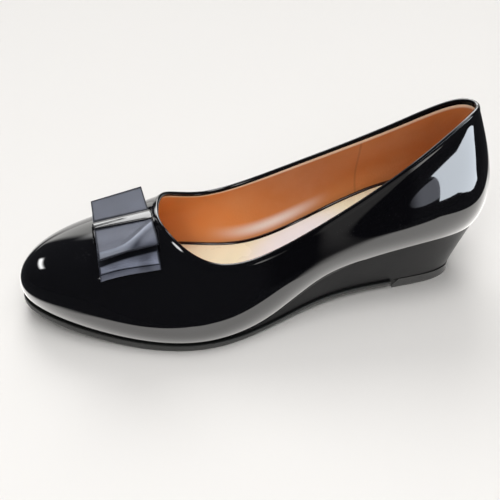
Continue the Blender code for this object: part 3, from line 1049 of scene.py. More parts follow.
MIRROR = {"coat": 1.0, "coat_roughness": 0.02}
PATENT = Patent("black patent", (0.003, 0.003, 0.004), 0.05, **MIRROR)
UPPER_PATENT = Patent("black upper patent", (0.003, 0.003, 0.004), 0.05, **MIRROR, inside=Span(0.69, 0.72))
BAND_PATENT = Patent("black patent band", (0.008, 0.008, 0.010), 0.14, coat=1.0, coat_roughness=0.08)
LINING = Lining("tan lining", (0.64, 0.205, 0.05), 0.42)
CREAM = Insole(
    "cream insole",
    (0.92, 0.90, 0.66),
    0.2,
    coat=0.6,
    coat_roughness=0.07,
    tone=0.95,
    grain_depth=0.00002,
)
WEDGE_COVER = Smooth(
    "black covered wedge", (0.005, 0.005, 0.006), 0.36, specular=0.13, tone=0.8, grain_depth=0.00002
)
RUBBER = Smooth(
    "black sole rubber", (0.012, 0.013, 0.012), 0.5, tone=0.75, grain_scale=900.0, grain_depth=0.00008
)
TIP_RUBBER = Smooth(
    "black tip rubber", (0.010, 0.010, 0.010), 0.42, tone=0.8, grain_scale=1100.0, grain_depth=0.00007
)
RIBBON = Ribbon(
    "black satin ribbon",
    (0.010, 0.011, 0.018),
    0.34,
    specular=0.9,
    sheen=0.3,
    crest_highlight_colour=(0.25, 0.27, 0.32),
    band=0.2222,
)
# The same black satin as the upper loop; its much lighter base colour is a painted sheen.
LOWER_RIBBON = Ribbon(
    "black satin lower ribbon",
    (0.26, 0.28, 0.37),
    0.36,
    specular=1.0,
    density=2.3,
    sheen=0.6,
    shade_from=0.36,
    shade_to=0.406,
    shade_slant=0.033,
    hem=0.446,
)


@dataclass
class Upper:
    """The patent upper with its rolled topline, and the lining inside it."""

    wall: float = 0.002
    patent_wall: float = 0.001
    bead_depth: float = 0.0028
    bead_proud: float = 0.00018
    bead_crown: float = 0.0007
    fold_front: float = 0.0009
    fold_back: float = 0.0021
    fold_from: float = 0.078
    fold_span: float = 0.055
    bead_ease: float = 1.6
    fold_steps: int = 4
    lining_clear: float = 0.00005
    lining_lift: float = 0.0001
    lip_depth: float = 0.0006
    lining_steps: int = 30
    smooth_angle: float = 60
    stations: int = 170
    wall_steps: int = 40
    bead_steps: int = 6
    crown_steps: int = 12
    inner_steps: int = 14

    def build(self) -> list[bpy.types.Object]:
        """Builds the patent and the lining.

        Returns:
            The two pieces.
        """
        places = LAST.ring(self.stations)
        patent = grid_piece("upper_patent", self.patent_points(places), self.smooth_angle)
        lining = grid_piece("upper_lining", self.lining_points(places), self.smooth_angle)
        return [patent, lining]

    def dress(self, patent: bpy.types.Object, lining: bpy.types.Object) -> None:
        """Gives the pieces their finishes."""
        give(patent, Slot.PATENT, UPPER_PATENT, "upper")
        give(lining, Slot.PATENT, LINING)

    def fold_depths(self, places: np.ndarray) -> np.ndarray:
        """Gives how far the patent is folded in over the topline, more round the heel.

        Args:
            places: places round the foot.

        Returns:
            A column of depths.
        """
        along = LAST.ribs(places).topline[:, :1]
        share = smooth_step((self.fold_from - along) / self.fold_span)
        return self.fold_front + (self.fold_back - self.fold_front) * share

    def patent_points(self, places: np.ndarray) -> np.ndarray:
        """Works out the patent's closed profile at each place round the foot.

        Args:
            places: places round the foot.

        Returns:
            A row of points for each place.
        """
        bead = LAST.shares_below_top(places, np.array([self.bead_depth]))
        outer = LAST.wall(places, bead * np.linspace(0, 1, self.wall_steps + 1), 0.0)
        step = np.linspace(0, 1, self.bead_steps + 1)[1:]
        roll = LAST.shares_below_top(places, self.bead_depth * (1 - step))
        roll = LAST.wall(places, roll, self.bead_proud * smooth_step(step * self.bead_ease))
        ribs = LAST.ribs(places)
        rise = ribs.topline - ribs.at(bead)[:, 0]
        rise /= np.linalg.norm(rise, axis=1, keepdims=True)
        turn = np.linspace(0, math.pi, self.crown_steps + 1)[1:]
        out = self.bead_proud - (self.wall + self.bead_proud) * (1 - np.cos(turn)) / 2
        top = np.ones((len(places), len(turn)))
        crown = LAST.wall(places, top, out) + (self.bead_crown * np.sin(turn))[None, :, None] * rise[:, None]
        step = np.linspace(0, 1, self.fold_steps + 1)[1:]
        fold = LAST.shares_below_top(places, self.fold_depths(places) * step)
        inside = LAST.wall(places, fold, -self.wall)
        shares = fold[:, -1:] * np.linspace(1, 0, self.inner_steps + 1)
        back = LAST.wall(places, shares, -self.patent_wall)
        return np.concatenate([outer, roll, crown, inside, back, outer[:, :1]], axis=1)

    def lining_points(self, places: np.ndarray) -> np.ndarray:
        """Works out the lining's closed profile at each place round the foot.

        Args:
            places: places round the foot.

        Returns:
            A row of points for each place.
        """
        depth = self.fold_depths(places)
        top = LAST.shares_below_top(places, depth + self.lining_lift)
        shares = top * np.linspace(0, 1, self.fold_steps + 1)
        behind = LAST.wall(places, shares, -self.patent_wall - self.lining_clear)
        lip = LAST.shares_below_top(places, depth + self.lip_depth)
        out = np.array([-self.wall + self.lining_lift, -self.wall - self.lining_lift])
        edge = LAST.wall(places, np.concatenate([top, lip], axis=1), out)
        front = LAST.wall(places, lip * np.linspace(1, 0, self.lining_steps + 1)[1:], -self.wall)
        return np.concatenate([behind, edge, front, behind[:, :1]], axis=1)


@dataclass
class Footbed:
    """The cream insole and the round piping along its edge."""

    wall: float = 0.0039
    inset: float = 0.0042
    bevel: float = 0.0009
    crown: float = 0.008
    piping_radius: float = 0.0012
    piping_inset: float = 0.0027
    piping_lift: float = 0.0028
    piping_sides: int = 12
    bevel_steps: int = 4
    across_steps: int = 24
    stations: int = 130

    def build(self) -> list[bpy.types.Object]:
        """Builds the insole and its piping.

        Returns:
            The two pieces.
        """
        sides = LAST.sides(self.stations)
        levels = [(self.inset, 0.0), (self.inset, self.wall - self.bevel)]
        for angle in np.linspace(0, math.pi / 2, self.bevel_steps + 1)[1:]:
            inset = self.inset + self.bevel * (1 - math.cos(angle))
            levels.append((inset, self.wall - self.bevel * (1 - math.sin(angle))))
        outer, inner = (np.array([LAST.level(side, inset, lift) for inset, lift in levels]) for side in sides)
        points = plate_points(outer, inner, self.across_steps, self.crown)
        insole = grid_piece("insole_sock", points, smooth_angle=40)
        places = LAST.ring(self.stations)
        rounds = []
        for angle in np.linspace(0, 2 * math.pi, self.piping_sides + 1):
            inset = self.piping_inset + self.piping_radius * math.cos(angle)
            rounds.append(LAST.level(places, inset, self.piping_lift + self.piping_radius * math.sin(angle)))
        piping = grid_piece("insole_edge_piping", np.array(rounds), smooth_angle=80)
        return [insole, piping]

    def dress(self, insole: bpy.types.Object, piping: bpy.types.Object) -> None:
        """Gives the pieces their finishes."""
        give(insole, Slot.INSOLE, CREAM, "insole")
        give(piping, Slot.PATENT, PATENT, "insole_piping")


@dataclass
class Sole:
    """The covered wedge, the thin outsole and the rubber tip of the heel."""

    wedge_inset: float = 0.0003
    wedge_front: float = 0.142
    proud: float = 0.0009
    sole_back: float = 0.055
    bevel: float = 0.0006
    tip_front: float = 0.0537
    tip_undercut: float = 0.0035
    tip_lip: float = 0.002
    tip_chamfer: float = 0.0005
    wedge_steps: int = 12
    bevel_steps: int = 4
    stations: int = 110

    def edge(self, places: np.ndarray, inset: np.ndarray, height: Curve) -> np.ndarray:
        """Gives points of the sole's side.

        Args:
            places: places round the foot.
            inset: how far inside the feather line each lies.
            height: the height for a place along the foot.

        Returns:
            A point for each place.
        """
        ribs = LAST.ribs(places)
        point = ribs.feather - np.broadcast_to(inset, places.shape)[:, None] * ribs.outward
        point[:, 2] = height(point[:, 0])
        return point

    def foot_inset(self, places: np.ndarray) -> np.ndarray:
        """Gives the inset of the wedge's lower edge, and of the heel tip under it."""
        return self.wedge_inset + LAST.underside(LAST.ribs(places).feather[:, 0])[1]

    def build(self) -> list[bpy.types.Object]:
        """Builds the wedge, the outsole and the heel tip, in this order."""
        return [self.build_wedge(), self.build_outsole(), self.build_tip()]

    def dress(self, wedge: bpy.types.Object, outsole: bpy.types.Object, tip: bpy.types.Object) -> None:
        """Gives the three pieces their finishes.

        Args:
            wedge: the covered wedge.
            outsole: the thin sole.
            tip: the heel tip.
        """
        give(wedge, Slot.WEDGE_COVER, WEDGE_COVER, "wedge")
        give(outsole, Slot.SOLE_RUBBER, RUBBER, "outsole")
        give(tip, Slot.SOLE_RUBBER, TIP_RUBBER, "heel_tip")

    def build_wedge(self) -> bpy.types.Object:
        """Builds the wedge between the upper and the outsole.

        Returns:
            The piece.
        """
        levels = []
        for side in LAST.sides(self.stations, front=self.wedge_front):
            top = self.edge(side, self.wedge_inset, lambda along: LAST.feather_height(along) - LAST.seat_gap)
            inset = self.foot_inset(side)
            foot = self.edge(side, inset, lambda along: LAST.outsole_top(along) + LAST.seat_gap)
            shares = np.linspace(0, 1, self.wedge_steps + 1)[:, None, None]
            levels.append(foot * (1 - shares) + top * shares)
        return grid_piece("wedge_covering", plate_points(*levels, across=8), smooth_angle=40, capped=True)

    def build_outsole(self) -> bpy.types.Object:
        """Builds the outsole, from the toe back to the heel tip.

        Returns:
            The piece.
        """
        levels = []
        for side in LAST.sides(self.stations, back=self.sole_back):
            tuck = LAST.underside(LAST.ribs(side).feather[:, 0])[1] - self.proud
            turns = np.linspace(0, math.pi / 2, self.bevel_steps + 1)
            bottom = (lambda along: LAST.underside(along)[0], turns, 1)
            top = (LAST.outsole_top, turns[::-1], -1)
            rows = []
            for height, angles, way in (bottom, top):
                for turn in angles:
                    row = self.edge(side, tuck + self.bevel * (1 - math.sin(turn)), height)
                    row[:, 2] += way * self.bevel * (1 - math.cos(turn))
                    rows.append(row)
            levels.append(np.array(rows))
        return grid_piece("outsole_rubber", plate_points(*levels, across=12), smooth_angle=40, capped=True)

    def build_tip(self) -> bpy.types.Object:
        """Builds the heel tip, whose front leans back over a short upright lip.

        Returns:
            The piece.
        """
        sides = LAST.sides(self.stations, front=self.tip_front)
        outline = self.edge(sides[0], self.foot_inset(sides[0]), np.zeros_like)
        back, front = outline[:, 0].min(), outline[:, 0].max()
        top = float(LAST.outsole_top(np.zeros(1))[0])
        heights = (
            (0.0, 0.0, self.tip_chamfer),
            (0.4 * self.tip_chamfer, 0.0, 0.2 * self.tip_chamfer),
            (self.tip_chamfer, 0.0, 0.0),
            (self.tip_lip, 0.0, 0.0),
            (top, self.tip_undercut, 0.0),
        )
        levels = []
        for side in sides:
            rows = []
            for height, undercut, chamfer in heights:
                row = self.edge(side, self.foot_inset(side) + chamfer, np.zeros_like)
                row[:, 0] = back + (row[:, 0] - back) * (front - undercut - back) / (front - back)
                row[:, 2] = height
                rows.append(row)
            levels.append(np.array(rows))
        return grid_piece("heel_tip_rubber", plate_points(*levels, across=8), smooth_angle=30, capped=True)


@dataclass
class Bow:
    """The flat ribbon bow: a loop on the vamp, a fuller loop on it, and the band that holds both."""

    along: float = BOW_ALONG
    side: float = BOW_SIDE
    width: float = 0.0276
    flare: float = 0.06
    wall: float = 0.0005
    pinch: float = 0.0012
    loop_flare: float = 0.05
    near_flare: float = -0.05
    top_half: float = 0.0232
    top_open: float = 0.0046
    top_fold: float = 0.0012
    top_gape: float = 0.25
    top_tilt: float = math.radians(5.5)
    top_twist: float = math.radians(4)
    under_half: float = 0.0240
    under_open: float = 0.0024
    under_lift: float = 0.0006
    under_tilt: float = math.radians(12)
    under_span: float = 0.012
    band_width: float = 0.0062
    band_taper: float = 0.2
    band_wall: float = 0.0008
    band_clear: float = 0.0004
    band_corner: float = 0.0012
    band_edge: float = 0.3
    band_pleat: float = 0.55
    pleat_slant: float = 0.55
    pleat_from: float = -0.35
    pleat_rise: float = 0.7
    pleat_width: float = 0.16
    band_rows: int = 27
    band_steps: int = 24
    corner_steps: int = 6
    foot_steps: int = 4
    crease_rise: float = 0.0012
    crease_width: float = 0.0045
    crease_soft: float = 0.0005
    crease_ply: float = 0.0008
    crease_from: float = 0.001
    crease_fade: float = 0.003
    near_droop: float = 0.0018
    hem_groove: float = 0.0003
    hem_place: float = 0.0026
    hem_width: float = 0.00035
    ray_height: float = 0.2
    ribbon_stations: int = 28
    loop_steps: int = 64
    fold_steps: int = 16

    def build(self) -> list[bpy.types.Object]:
        """Builds the loops and the band on the patent of the upper.

        Returns:
            The three pieces.
        """
        upper = bpy.data.objects["upper_patent"]
        tree = BVHTree.FromObject(upper, bpy.context.evaluated_depsgraph_get())

        def vamp(along: np.ndarray, across: np.ndarray) -> np.ndarray:
            """Gives the height of the vamp under places of the bow.

            Args:
                along: places along the foot.
                across: places across it.

            Returns:
                A height for each place.
            """
            height = np.empty(np.shape(along))
            for index in np.ndindex(height.shape):
                over = Vector((along[index] + STAND[0], across[index] + STAND[1], self.ray_height))
                height[index] = tree.ray_cast(over, Vector((0, 0, -1)))[0].z
            return height

        heel_edge = np.array([self.along - self.width / 2])
        back = float(vamp(heel_edge, np.array([self.side]))[0]) + self.under_lift
        under_path = self.path(self.under_half, self.under_open, self.under_open / 2)
        top_path = self.path(self.top_half, self.top_open, self.top_fold)
        top_place = self.top_place(back)
        under = self.loop("bow_lower_ribbon", under_path, self.under_place(vamp, back))
        top = self.loop("bow_upper_ribbon", top_path, top_place)
        band = grid_piece("bow_centre_band", self.band_points(vamp, top_place), smooth_angle=60)
        return [under, top, band]

    def dress(self, under: bpy.types.Object, top: bpy.types.Object, band: bpy.types.Object) -> None:
        """Gives the three pieces their finishes.

        Args:
            under: the loop on the vamp.
            top: the fuller loop.
            band: the band round both.
        """
        give(under, Slot.RIBBON, LOWER_RIBBON, "bow_under_loop")
        give(top, Slot.RIBBON, RIBBON, "bow_top_loop")
        give(band, Slot.PATENT, BAND_PATENT, "bow_band")

    def path(self, half: float, open_height: float, fold: float) -> np.ndarray:
        """Draws a ribbon loop as seen along the foot.

        Args:
            half: from the middle of the bow to the fold.
            open_height: between the outer faces where the loop is fullest.
            fold: radius of the fold at its end.

        Returns:
            Points (across, up) round the loop's outer face, with the first one repeated.
        """
        full = open_height / 2 - (self.pinch / 2 + fold) / 2
        lean = math.atan(max(0.0, 8 * full + self.pinch - 2 * fold) / (half - fold))
        bend = fold / math.cos(lean)
        flat = half - bend * (1 - math.sin(lean))
        across = np.linspace(-flat, flat, 2 * self.loop_steps + 1)
        near = (across / flat) ** 2
        up = self.pinch / 2 * (1 - near) + fold * near + 4 * full * near * (1 - near) * (across > 0)
        turn = (math.pi / 2 - lean) * (1 - 2 * np.arange(1, self.fold_steps) / self.fold_steps)
        end = np.stack([flat + bend * (np.cos(turn) - math.sin(lean)), bend * np.sin(turn)], axis=1)
        top = np.concatenate([np.stack([across, up], axis=1), end])
        return np.concatenate([top, -top, top[:1]])

    def plan(
        self, along: np.ndarray, across: np.ndarray, half: float, near_flare: float
    ) -> tuple[np.ndarray, np.ndarray, np.ndarray]:
        """Spreads the ribbon in plan.

        Args:
            along: places along the foot, from the middle of the bow.
            across: places across the foot.
            half: from the middle of the bow to the fold.
            near_flare: how much longer the loop is at its heel edge than in the middle, on the outer side.

        Returns:
            The places along and across, and how near each is to the end of the loop.
        """
        end = np.minimum(np.abs(across) / half, 1) ** 2
        wide = along * (1 + self.flare * across / half)
        flare = np.where(across > 0, near_flare, self.loop_flare)
        return wide, across * (1 - flare * along / (self.width / 2)), end

    def under_place(self, vamp: Height, back: float) -> Place:
        """Makes the function that lays the under loop on the vamp.

        Args:
            vamp: the height of the vamp at a place.
            back: the height of the loop's middle at its heel edge.

        Returns:
            A function from (along, across, up) in the loop to points.
        """

        def place(along: np.ndarray, across: np.ndarray, up: np.ndarray) -> np.ndarray:
            """Lays the middle on a slope from the back of the vamp, and the ends down on the vamp.

            Args:
                along: places along the foot, from the middle of the bow.
                across: places across the foot.
                up: heights in the loop.

            Returns:
                A point for each place.
            """
            along, across, _ = self.plan(along, across, self.under_half, self.loop_flare)
            near = np.minimum(np.abs(across) / self.under_half, 1) ** 2
            swell = self.pinch + (self.under_open - self.pinch) * near
            lying = vamp(self.along + along, self.side + across) + self.under_lift
            spanning = np.maximum(lying, back - math.tan(self.under_tilt) * (along + self.width / 2))
            share = np.maximum(0.0, 1 - (across / self.under_span) ** 2)
            from_hem = (self.under_half - across - self.hem_place) / self.hem_width
            groove = np.exp(-(from_hem**2)) * (up > 0)
            height = lying + (spanning - lying) * share + swell / 2 + up - self.hem_groove * groove
            return np.stack([self.along + along, self.side + across, height], axis=-1)

        return place

    def top_place(self, back: float) -> Place:
        """Makes the function that sets the top loop over the under loop.

        Args:
            back: the height of the under loop's middle at its heel edge.

        Returns:
            A function from (along, across, up) in the loop to points.
        """
        top_back = back + 1.5 * self.pinch + LAST.seat_gap
        middle = top_back - math.tan(self.top_tilt) * self.width / 2

        def place(along: np.ndarray, across: np.ndarray, up: np.ndarray) -> np.ndarray:
            """Sets the loop nearly flat, with its ends tilted a little more to the toe.

            Args:
                along: places along the foot, from the middle of the bow.
                across: places across the foot.
                up: heights in the loop.

            Returns:
                A point for each place.
            """
            along, across, end = self.plan(along, across, self.top_half, self.near_flare)
            slope = np.tan(self.top_tilt + self.top_twist * end)
            gape = 1 + self.top_gape * along / (self.width / 2) * end
            droop = self.near_droop * end * (across > 0) * np.clip(-along / (self.width / 2), 0, 1)
            height = middle - slope * along - droop + up * gape + self.crease(along, across, up)
            return np.stack([self.along + along, self.side + across, height], axis=-1)

        return place

    def crease(self, along: np.ndarray, across: np.ndarray, up: np.ndarray) -> np.ndarray:
        """Works out the soft crease that slants over the outer half of the top loop.

        Args:
            along: places along the foot, from the middle of the bow.
            across: places across the foot.
            up: height in the loop, above 0 in its upper ply.

        Returns:
            How far the ribbon is raised.
        """
        places, crest = np.array(CREST).T
        lean = np.interp(along, places, np.gradient(crest, places))
        away = (across - np.interp(along, places, crest)) / np.hypot(1, lean)
        away = np.hypot(away, self.crease_soft) - self.crease_soft
        ply = smooth_step(up / self.crease_ply) * smooth_step((across - self.crease_from) / self.crease_fade)
        return ply * self.crease_rise * np.clip(1 - away / self.crease_width, 0, 1) ** 2

    def loop(self, name: str, path: np.ndarray, place: Place) -> bpy.types.Object:
        """Builds a closed loop of ribbon.

        Args:
            name: name of the piece.
            path: points (across, up) of the loop's outer face.
            place: turns (along, across, up) in the loop into points.

        Returns:
            The piece.
        """
        run = np.roll(path[:-1], -1, axis=0) - np.roll(path[:-1], 1, axis=0)
        run /= np.linalg.norm(run, axis=1, keepdims=True)
        inner = path[:-1] + self.wall * np.stack([run[:, 1], -run[:, 0]], axis=1)
        inner = np.concatenate([inner, inner[:1]])
        spread = np.linspace(-self.width / 2, self.width / 2, self.ribbon_stations)
        rows = []
        for face, alongs in ((path, spread), (inner, spread[::-1])):
            for along in alongs:
                rows.append(place(np.full(len(face), along), face[:, 0], face[:, 1]))
        rows.append(rows[0])
        return grid_piece(name, np.array(rows), smooth_angle=35)

    def band_points(self, vamp: Height, place: Place) -> np.ndarray:
        """Works out the band's sections across its width.

        Args:
            vamp: the height of the vamp at a place.
            place: turns (along, across, up) in the top loop into points.

        Returns:
            A row of points for each section, round the band's outer and inner face.
        """

        def face(across: float, out: Curve) -> np.ndarray:
            """Gives one line along the band, from its foot at the heel to its foot at the toe.

            Args:
                across: where the line lies across the band.
                out: how far it lies out at shares of the way.

            Returns:
                Its points.
            """
            ends = []
            for end in (-1, 1):
                wide = across * (1 - self.band_taper * end)
                proud = float(out(np.array([end]))[0])
                reach = end * (self.width / 2 + proud)
                turn = np.linspace(0, math.pi / 2, self.corner_steps + 1)
                along = reach - end * self.band_corner * (1 - np.cos(turn))
                rise = self.pinch / 2 + proud - self.band_corner * (1 - np.sin(turn))
                corner = place(along, np.full(len(turn), wide), rise)
                foot = corner[0].copy()
                foot[2] = vamp(np.array([foot[0]]), np.array([foot[1]]))[0] + LAST.seat_gap
                drop = foot + (corner[0] - foot) * np.linspace(0, 1, self.foot_steps + 1)[:-1, None]
                ends.append(np.concatenate([drop, corner]))
            share = np.linspace(-1, 1, self.band_steps + 1)[1:-1]
            along = share * (self.width / 2 + out(share) - self.band_corner)
            top = place(along, across * (1 - self.band_taper * share), self.pinch / 2 + out(share))
            return np.concatenate([ends[0], top, ends[1][::-1]])

        rows = []
        for share in np.linspace(-1, 1, self.band_rows):
            crown = self.band_edge + (1 - self.band_edge) * math.sqrt(max(0.0, 1 - share**2))

            def proud(length: np.ndarray, share: float = share, crown: float = crown) -> np.ndarray:
                """Gives how far the band stands out along its length, with a pleat across its toe end.

                Args:
                    length: shares of the way, from -1 to 1.
                    share: where the section lies across the band.
                    crown: its fullness there.

                Returns:
                    A distance for each share.
                """
                from_pleat = (share - self.pleat_slant * length) / self.pleat_width
                pleat = smooth_step((length - self.pleat_from) / self.pleat_rise) * np.exp(-(from_pleat**2))
                return self.band_clear + self.band_wall * (crown - self.band_pleat * pleat)

            across = self.band_width / 2 * share
            outer = face(across, proud)
            inner = face(across, lambda length: np.full(np.shape(length), self.band_clear))
            rows.append(np.concatenate([outer, inner[::-1], outer[:1]]))
        first, last = rows[0], rows[-1]
        count = (len(first) - 1) // 2
        middle = [(row[:count] + row[count:-1][::-1]) / 2 for row in (first, last)]
        caps = [np.concatenate([line, line[::-1], line[:1]]) for line in middle]
        return np.array([caps[0], *rows, caps[1]])


@dataclass(frozen=True)
class Glow:
    """A bright patch of the room that glossy surfaces mirror, by its direction from the shoe in degrees."""

    azimuth: float
    elevation: float
    half_width: float
    half_height: float
    soft: float
    colour: Colour
    slant: float = 0.0

    def mask(self, graph: Graph, azimuth: Socket, elevation: Socket) -> Socket:
        """Builds the patch's mask.

        Args:
            graph: the world's graph.
            azimuth: the direction's azimuth in degrees.
            elevation: its elevation in degrees.

        Returns:
            1 inside the patch, falling to 0 over its soft edge.
        """
        turned = graph.math("SUBTRACT", azimuth, self.azimuth)
        level = graph.math("SUBTRACT", elevation, graph.math("MULTIPLY", turned, self.slant))
        across = (graph.away(azimuth, self.azimuth), self.half_width)
        upright = (graph.away(level, self.elevation), self.half_height)
        soft = self.soft / 2
        sides = [graph.ramp(away, half - soft, half + soft, 1.0, 0.0) for away, half in (across, upright)]
        return graph.math("MULTIPLY", *sides)


GLOWS = (
    Glow(-94, 2, 21, 26, 4, (1.1, 1.09, 1.06)),
    Glow(-94, 42, 21, 15, 8, (5.4, 5.4, 5.4)),
    Glow(-44, 25, 10, 2.0, 4, (9.0, 9.0, 9.0), 0.375),
    Glow(55, 47.5, 7, 5, 2, (8.0, 8.0, 8.0)),
    Glow(0, 90, 200, 12, 4, (4.0, 4.0, 4.0)),
)


# How far the mirrored floor reaches to the outer side, at places along the foot.
TABLE_EDGE = (
    (-0.40, -0.4), (-0.25, -0.4), (-0.226, 0.099), (-0.221, 0.178), (-0.215, 0.286),
    (-0.131, 0.21), (-0.097, 0.165), (-0.084, 0.134), (-0.068, 0.09), (-0.057, 0.071),
    (-0.047, 0.073), (-0.044, 0.105), (-0.03, 0.4), (0.088, 0.4), (0.101, 0.109),
    (0.106, 0.084), (0.110, 0.066), (0.118, 0.043), (0.130, 0.028), (0.142, -0.01),
    (0.15, -0.4), (0.4, -0.4),
)
# Corners of the bright panels: to the left and up, as seen from the heel.
WINDOW = (
    (-0.275, 0.072), (-0.117, 0.030), (-0.044, -0.010), (0.006, -0.034), (0.051, -0.056),
    (0.10, -0.072), (0.16, -0.090), (0.24, -0.132), (0.25, -0.122), (0.185, -0.070),
    (0.158, -0.030), (0.158, 0.020), (0.083, 0.040), (0.0, 0.060), (-0.117, 0.10),
    (-0.275, 0.15),
)
WINDOW_SIDE = ((-0.39, 0.085), (-0.275, 0.095), (-0.275, 0.15), (-0.39, 0.15))


@dataclass
class Studio:
    """The floor, the lights and the camera."""

    floor_size: float = 8.0
    floor_level: float = -0.0002
    floor_roughness: float = 0.6
    floor_colour: Colour = (0.80, 0.782, 0.758)
    table_soft: float = 0.016
    table_behind: float = -0.045
    behind_soft: float = 0.02
    behind_share: float = 0.6
    front_soft: float = 0.03
    table_light: float = 1.0
    table_front: float = 0.13
    table_side: float = 0.3
    panel_from: Point = (-0.115, 0.015, 0.075)
    panel_azimuth: float = math.radians(138)
    panel_distance: float = 0.5
    room_colour: Colour = (0.03, 0.031, 0.034)
    backdrop_colour: Colour = (0.80, 0.79, 0.78)
    camera_place: Point = (0.22869, 0.44598, 0.38421)
    camera_right: Point = (-0.97522, 0.22119, 0.00501)
    camera_up: Point = (-0.13344, -0.60612, 0.78410)
    camera_forward: Point = (-0.17647, -0.76400, -0.62062)
    focal_pixels: float = 1126.5
    image_pixels: float = 500.0

    def build(self) -> None:
        """Builds the floor, the lights, the world and the camera."""
        self.build_floor()
        self.build_lights()
        self.build_world()
        self.build_camera()

    def build_floor(self) -> None:
        """Lays the pale floor. Glossy surfaces see it glowing, but only as far as the edge of a table; beyond
        it they see the dark colour of the room.
        """
        bpy.ops.object.select_all(action="DESELECT")
        bpy.ops.mesh.primitive_plane_add(size=self.floor_size, location=(0, 0, self.floor_level))
        floor = bpy.context.active_object
        floor.name = "floor"
        material = bpy.data.materials.new("pale floor")
        material.use_nodes = True
        graph = Graph(material.node_tree)
        shader = material.node_tree.nodes["Principled BSDF"]
        place = graph.split("Object")
        past = graph.math("SUBTRACT", place["Y"], graph.follow(place["X"], TABLE_EDGE))
        beyond = graph.ramp(past, -self.table_soft, self.table_soft)
        edge = self.table_behind - self.behind_soft, self.table_behind + self.behind_soft
        behind = graph.ramp(place["Y"], *edge, 1.0, 0.0)
        ahead = graph.math("ADD", place["X"], graph.math("MULTIPLY", place["Y"], self.table_side))
        front = self.table_front, self.table_front + self.front_soft
        dimmed = graph.ramp(ahead, *front, self.behind_share, 1.0)
        beyond = graph.math("MAXIMUM", beyond, graph.math("MULTIPLY", behind, dimmed))
        # Glossy rays see the floor glow inside the table's edge, and the dark room colour beyond it.
        mirrored = graph.add("ShaderNodeLightPath").outputs["Is Glossy Ray"]
        hidden = graph.math("MULTIPLY", beyond, mirrored)
        bright = graph.math("MULTIPLY", graph.math("SUBTRACT", mirrored, hidden), self.table_light)
        graph.fill(
            shader,
            Base_Color=graph.mix(hidden, self.floor_colour, self.room_colour),
            Roughness=self.floor_roughness,
            Specular_IOR_Level=0.0,
            Emission_Color=self.floor_colour,
            Emission_Strength=bright,
        )
        floor.data.materials.append(material)

    def panel(self, name: str, corners: Sequence[tuple[float, float]], colour: Colour) -> None:
        """Hangs a bright upright panel beside the heel that only glossy surfaces show.

        Args:
            name: name of the panel.
            corners: how far to the left and how high each corner lies, as seen from the heel.
            colour: its light.
        """
        bpy.ops.object.select_all(action="DESELECT")
        bpy.ops.mesh.primitive_circle_add(vertices=len(corners), fill_type="NGON")
        panel = bpy.context.active_object
        panel.name = name
        ahead = Vector((math.cos(self.panel_azimuth), math.sin(self.panel_azimuth), 0))
        left = Vector((-ahead.y, ahead.x, 0))
        middle = Vector(self.panel_from) + self.panel_distance * ahead
        for vertex, (across, up) in zip(panel.data.vertices, corners):
            vertex.co = middle + across * left + Vector((0, 0, up))
        material = bpy.data.materials.new(name)
        material.use_nodes = True
        shader = material.node_tree.nodes["Principled BSDF"]
        glow = {"Emission_Color": colour, "Emission_Strength": 1.0}
        Graph(material.node_tree).fill(shader, Base_Color=(0, 0, 0), **glow)
        panel.data.materials.append(material)
        panel.visible_camera = panel.visible_diffuse = panel.visible_shadow = False

    def area(self, name: str, place: Point, side: float, power: float) -> None:
        """Hangs a soft light that no surface mirrors.

        Args:
            name: name of the light.
            place: where it hangs, pointing at the shoe.
            side: its width and height.
            power: its power in watts.
        """
        lamp = bpy.data.lights.new(name, "AREA")
        lamp.shape = "RECTANGLE"
        lamp.size = lamp.size_y = side
        lamp.energy = power
        light = bpy.data.objects.new(name, lamp)
        bpy.context.scene.collection.objects.link(light)
        light.location = place
        light.rotation_euler = (-Vector(place)).to_track_quat("-Z", "Y").to_euler()
        light.visible_glossy = light.visible_camera = False

    def build_lights(self) -> None:
        """Hangs the soft lights."""
        self.area("overhead", (-0.1, 0.0, 1.6), 1.6, 12)
        self.area("front fill", (0.3, 1.0, 1.2), 1.4, 9)
        self.panel("window", WINDOW, (6.2, 6.7, 7.3))
        self.panel("window side", WINDOW_SIDE, (1.0, 1.05, 1.2))

    def build_world(self) -> None:
        """Fills the room with dim light and its bright patches, and puts a pale backdrop behind the view."""
        world = bpy.data.worlds.new("studio")
        bpy.context.scene.world = world
        world.use_nodes = True
        graph = Graph(world.node_tree)
        ground = world.node_tree.nodes["Background"]
        direction = graph.split("Generated")
        turn = graph.math("ARCTAN2", direction["Y"], direction["X"])
        azimuth = graph.math("MULTIPLY", turn, math.degrees(1))
        elevation = graph.math("MULTIPLY", graph.math("ARCSINE", direction["Z"]), math.degrees(1))
        colour = self.room_colour
        for glow in GLOWS:
            colour = graph.mix(glow.mask(graph, azimuth, elevation), colour, glow.colour)
        seen = graph.add("ShaderNodeLightPath").outputs["Is Camera Ray"]
        graph.fill(ground, Color=graph.mix(seen, colour, self.backdrop_colour), Strength=1.0)

    def build_camera(self) -> None:
        """Sets the camera where the photograph was taken from."""
        data = bpy.data.cameras.new("camera")
        data.sensor_width = 36.0
        data.lens = self.focal_pixels / self.image_pixels * data.sensor_width
        camera = bpy.data.objects.new("camera", data)
        bpy.context.scene.collection.objects.link(camera)
        place = Vector(self.camera_place) + Vector(STAND)
        columns = (self.camera_right, self.camera_up, tuple(-c for c in self.camera_forward), tuple(place))
        matrix = Matrix.Identity(4)
        for column, vector in enumerate(columns):
            for row in range(3):
                matrix[row][column] = vector[row]
        camera.matrix_world = matrix
        bpy.context.scene.camera = camera


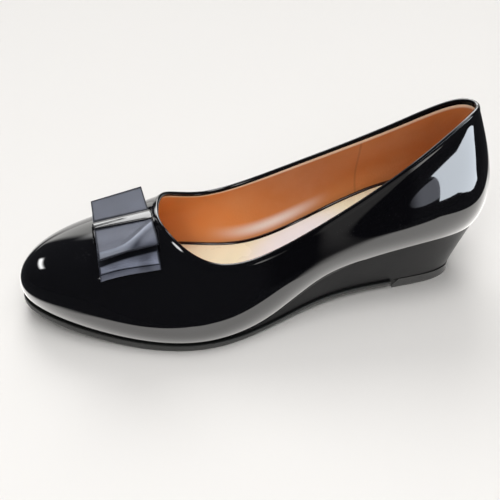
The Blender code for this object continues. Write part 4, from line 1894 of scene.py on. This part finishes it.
def main() -> None:
    """Builds and dresses the shoe piece by piece, then the studio."""
    logging.basicConfig(level=logging.INFO, format="%(name)s %(message)s")
    for assembly in (Upper(), Footbed(), Sole(), Bow()):
        pieces = assembly.build()
        assembly.dress(*pieces)
        for piece in pieces:
            LOG.info("%s: %d faces", piece.name, len(piece.data.polygons))
    Studio().build()
    bpy.context.scene.view_settings.view_transform = "Standard"


if __name__ == "__main__":
    main()
